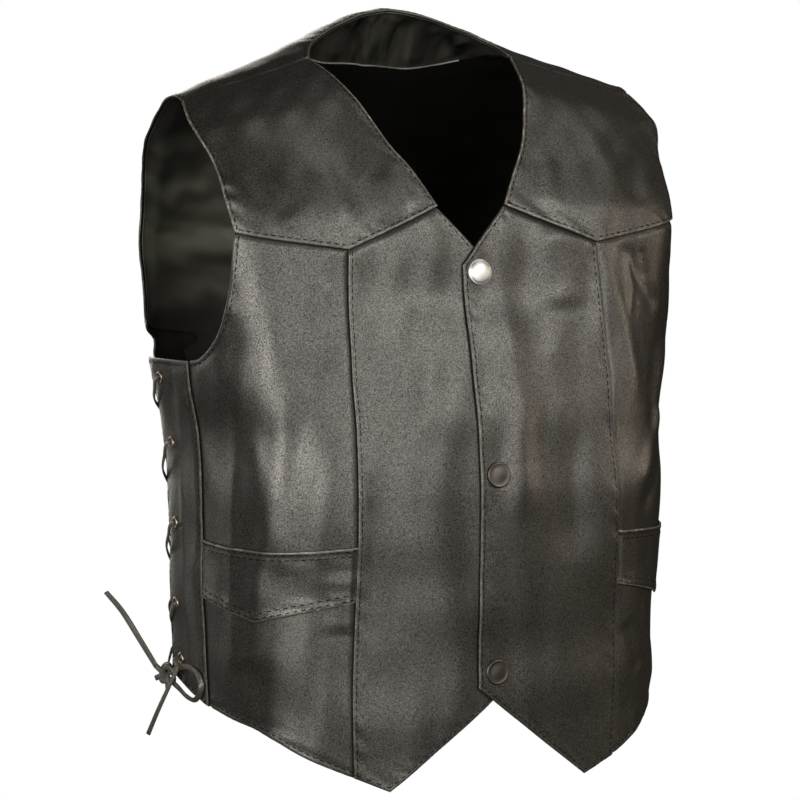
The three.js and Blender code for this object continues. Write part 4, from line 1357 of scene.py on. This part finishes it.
def cutEyelets(piece, spots):
    verts, faces, size = [], [], 28
    turn = np.linspace(0, 2 * np.pi, size, endpoint=False)
    for side, y, z in spots:
        centre, normal = sidePlace((y, z, 0), side), sideNormal((y, z), side)
        wide = unit(np.cross(normal, (0, 0, 1)))
        high = np.cross(wide, normal)
        faces += ringFaces(2, size, len(verts))
        for depth in (-9, 9):
            verts += list(centre + normal * depth + hole["cut"] * (np.cos(turn)[:, None] * wide
                                                                   + np.sin(turn)[:, None] * high))
    drill = meshPiece("drill", verts, faces, paints["bronze"])
    tool = piece.modifiers.new("holes", "BOOLEAN")
    tool.operation = "DIFFERENCE"
    tool.object = drill
    tool.solver = "EXACT"
    graph = bpy.context.evaluated_depsgraph_get()
    made = bpy.data.meshes.new_from_object(piece.evaluated_get(graph))
    piece.modifiers.clear()
    old = piece.data
    piece.data = made
    made.name = piece.name
    bpy.data.meshes.remove(old)
    bpy.data.objects.remove(drill)


def lathe(name, profile, closed, segments, paint):
    turn = np.linspace(0, 2 * np.pi, segments, endpoint=False)
    verts, faces = [], []
    profile = np.array(profile, float)
    for angle in turn:
        verts += [(r * math.cos(angle), r * math.sin(angle), h) for r, h in profile]
    size = len(profile)
    for i in range(segments):
        k = (i + 1) % segments
        for j in range(size if closed else size - 1):
            n = (j + 1) % size
            faces.append((i * size + j, k * size + j, k * size + n, i * size + n))
    piece = meshPiece(name, verts, faces, paint)
    finishMesh(piece.data, 1e-6)
    return piece


def seat(piece, surface, point, normal, rise):  # moves the mesh, so the object stays at the origin
    aim = Vector((point + normal * 9) * mm)
    hit, _, _, _ = surfaces[surface].ray_cast(aim, Vector(-normal), 0.02)
    base = np.array(hit) / mm if hit is not None else point
    turn = Vector((0, 0, 1)).rotation_difference(Vector(normal)).to_matrix().to_4x4()
    piece.data.transform(Matrix.Translation(Vector((base + normal * rise) * mm)) @ turn)


def addEyelets(label, side):
    profile = [(hole["bore"], hole["bottom"]), (hole["bore"], 0.3), (2.72, 0.55), (3.0, 0.76), (3.4, 0.8),
               (3.85, 0.62), (4.18, 0.32), (hole["flange"], 0.05), (4.2, -0.02), (hole["barrel"], 0.0),
               (hole["barrel"], hole["bottom"])]
    for edge, surface in (("front", "laceStrip" + label), ("back", "backPanel")):
        for i, row in enumerate(eyeletRows):
            piece = lathe("eyelet" + edge.title() + label + str(i + 1), profile, True, hole["segments"],
                          paints["bronze"])
            point = sidePlace((row[edge], row["z"], 0), side)
            seat(piece, surface, point, sideNormal((row[edge], row["z"]), side), 0.02)
            attach(piece, "bronze", "eyelet_" + edge + sideName(label) + "_" + str(i + 1))


def addBack():
    split = (12 / 20) ** 1.4
    left, right, hem = backOutline(0, 0, split, 0)
    outline = {"top": acrossBack(joined(1 / 2, seam["backShoulder"], seam["backNeck"])),
               "bottom": acrossBack(hem), "inner": left, "outer": right}
    look = {**frontLook, "step": 2.7, "lift": level(0), "rubAndGlint": 0.35,
            "free": borders(("inner",), ("outer",), ("bottom",), ("top", 0.25, 0.75)),
            "plain": borders(("top", 0, 0.25), ("top", 0.75, 1)),
            "splitS": (0.25, 0.5, 0.75), "splitT": (split,)}
    piece = cloth("backPanel", outline, look)
    cutEyelets(piece, [(side, row["back"], row["z"]) for side in sides.values() for row in eyeletRows])
    attach(piece, "black_leather", "back")
    spans = [(border, low, high) for border in ("inner", "outer") for low, high in ((0, split), (split, 1))]
    rows = [(*span, threads["inset"]) for span in spans + [("bottom", 0, 1), ("top", 0.25, 0.75)]]
    sewRows("backPanel", outline, rows, 1)
    declareSheet(piece)


def neckFolds(points):  # satin drawn into small upright folds, all inwards
    x, z = points[..., 0], points[..., 2]
    wave = np.sin(x * 0.3 + 1.3 * np.sin(x * 0.09 + z * 0.04)) + 0.4 * np.sin(x * 0.71 + 1.3)
    return -1.6 * (1.4 - wave)


def liningFolds(points):  # broad folds across, all inwards
    x, z = points[..., 0], points[..., 2]
    wave = np.sin(z * 0.2 + 1.1 * np.sin(x * 0.05 + z * 0.02)) + 0.3 * np.sin(z * 0.47 + x * 0.08)
    return -1.1 * (1.3 - wave)


satinShades = [  # height and darkness of the folds across the satin
    (-212, 1), (-182, 1), (-168, 0.85), (-158, 0.5), (-150, 0.62), (-140, 0.5), (-128, 0.12),
    (-108, 0.05), (-103, 0.2), (-97, 0.85), (-91, 0.7), (-86, 0.15), (-80, 0.2), (-74, 0.8),
    (-60, 0.9), (-54, 0.45), (-48, 0.5), (-42, 0.9), (10, 1),
]


def satinShade(points):
    x, z = points[..., 0], points[..., 2]
    shift = 4 * np.sin(x * 0.085 + 1.5) + 2.5 * np.sin(x * 0.21 + z * 0.06)
    heights, darkness = np.array(satinShades).T
    return np.interp(z + shift, heights, darkness)


facingShades = [  # across and darkness
    (-97, 0.9), (-40, 0.75), (-14, 0.55), (-6, 0.1), (8, 0), (26, 0.1), (36, 0.7), (54, 0.72),
    (60, 0.2), (66, 0.25), (72, 0.85), (97, 0.95),
]


def facingShade(points):
    across, darkness = np.array(facingShades).T
    return np.interp(points[..., 0] + 0.25 * points[..., 2], across, darkness)


def slanted(curve, low, high):  # the facing's seam sits lower on the wearer's left
    def seamLine(t):
        share = np.clip((np.asarray(t, float) - low) / (high - low), 0, 1)
        return curve(t) + np.stack([0 * share, 6 * np.sin(2 * np.pi * share)], -1)
    return seamLine


def hangInside(outline, edges, still, folds):  # sewn down along its edges, smooth along the still ones
    sewn, calm = ([(outline[key], 0, 1) for key in keys] for keys in (edges, still))

    def lift(angle, run, base):
        loose = smooth(distanceTo(sewn, base, 1) / 13)
        wavy = smooth(distanceTo(calm, base, 1) / 10)
        return -cut["leather"] - 0.55 - (cut["liningGap"] - 0.3) * loose + folds(base) * loose * wavy
    return lift


shadeBlackShares = (0.1, 0.71)  # shares of the width, from the wearer's left, between which the lining is black as painted shade


def addLining():
    end = line(seam["backNeck"](np.array(0.0)), seam["facingFoot"](np.array(0.0)))
    outline = {"top": acrossBack(seam["backNeck"]), "bottom": slanted(acrossBack(seam["facingFoot"]), 0, 1),
               "inner": end, "outer": mirrored(end)}
    look = {"thick": cut["lining"], "paints": [paints["facing"]], "step": 1.8, "thin": True,
            "lift": hangInside(outline, ["top", "inner", "outer"], ["bottom"], neckFolds),
            "splitS": (0.5,), "shade": facingShade}
    addPanel("neckFacing", "back_neck_facing", outline, look, 1, [], "dark_satin")
    split = (6 / 10) ** 1.4
    left, right, hem = backOutline(1.5, 21, split, 10)
    shoulder = line(left(np.array(0.0)), seam["facingFoot"](np.array(0.0)))
    top = acrossBack(joined(1 / 3, shoulder, seam["facingFoot"]))
    outline = {"top": slanted(top, 1 / 6, 5 / 6), "bottom": acrossBack(hem), "inner": left, "outer": right}
    look = {"thick": cut["lining"], "paints": [paints["satin"], paints["satin"], paints["blackLining"]],
            "lift": hangInside(outline, ["inner", "outer", "bottom"], ["top"], liningFolds),
            "shade": satinShade, "step": 2.8, "thin": True,
            "splitS": (*shadeBlackShares, 1 / 6, 0.5, 5 / 6), "splitT": (split,)}
    piece = addPanel("backLining", "back_lining", outline, look, 1, [], "dark_satin")
    across = piece.data.attributes["across"].data
    for face in piece.data.polygons:  # satin beside the armholes, and plain black between them as painted shade for the shaded inside
        share = np.mean([across[k].value for k in face.vertices])
        if shadeBlackShares[0] < share < shadeBlackShares[1]:
            face.material_index = 2


piping = {"radius": 0.5, "rise": -4.45, "start": 0.29}


def addPiping():
    spots = slanted(acrossBack(seam["facingFoot"]), 0, 1)(np.linspace(piping["start"], 0.99, 160))
    base = formAt(spots)
    normal = formNormal(spots[:, 0], spots[:, 1])
    shift = foldHeight(base) + rippleHeight(base)
    path = base + normal * (piping["rise"] + shift)[:, None]
    wide = 2 * piping["radius"]
    rings = strapRings(path, normal, wide, wide)
    piece = meshPiece("neckPiping", np.concatenate(rings), ringFaces(len(rings), len(rings[0])),
                      paints["piping"])
    attach(piece, "dark_satin")


snaps = {"radius": 8.5, "x": 2, "heights": (-138, -268, -397), "segments": 56}


def addSnaps():
    r = snaps["radius"]
    domed = [(0, 0), (r - 0.6, 0), (r, 0.35), (r - 0.05, 0.85), (r - 0.5, 1.15), (r - 0.95, 1.1)]
    domed += [((r - 1) * share, 1.15 + 1.85 * math.sqrt(1 - share ** 2))
              for share in (0.97, 0.9, 0.78, 0.62, 0.44, 0.22, 0)]
    dished = [(0, 0), (r - 0.6, 0), (r, 0.4), (r, 1.1), (r - 0.35, 1.65), (r - 0.9, 1.85), (r - 1.5, 1.7),
              (r - 2.1, 1.55), (r * 0.5, 1.75), (r * 0.25, 1.95), (0, 2.0)]
    for i, z in enumerate(snaps["heights"]):
        angle, run = frontX(snaps["x"], runAt(z))
        point, normal = formPoint(angle, run), formNormal(angle, run)
        piece = lathe("snapCap" + str(i + 1), dished if i else domed, False, snaps["segments"],
                      paints["nickel" if i else "polished"])
        seat(piece, "centreFrontLeft", point, normal, 0.05)
        attach(piece, "nickel", "snap_cap_" + str(i + 1))


for label, side in sides.items():
    addYoke(label, side)
    addCentreFront(label, side)
    addSideFront(label, side)
    addPocketBand(label, side)
    addLaceStrip(label, side)
print("fronts are cut and sewn")
addBack()
addLining()
addPiping()
print("back and lining are in")
addSnaps()
for label, side in sides.items():
    addEyelets(label, side)
print("snaps and eyelets are set")
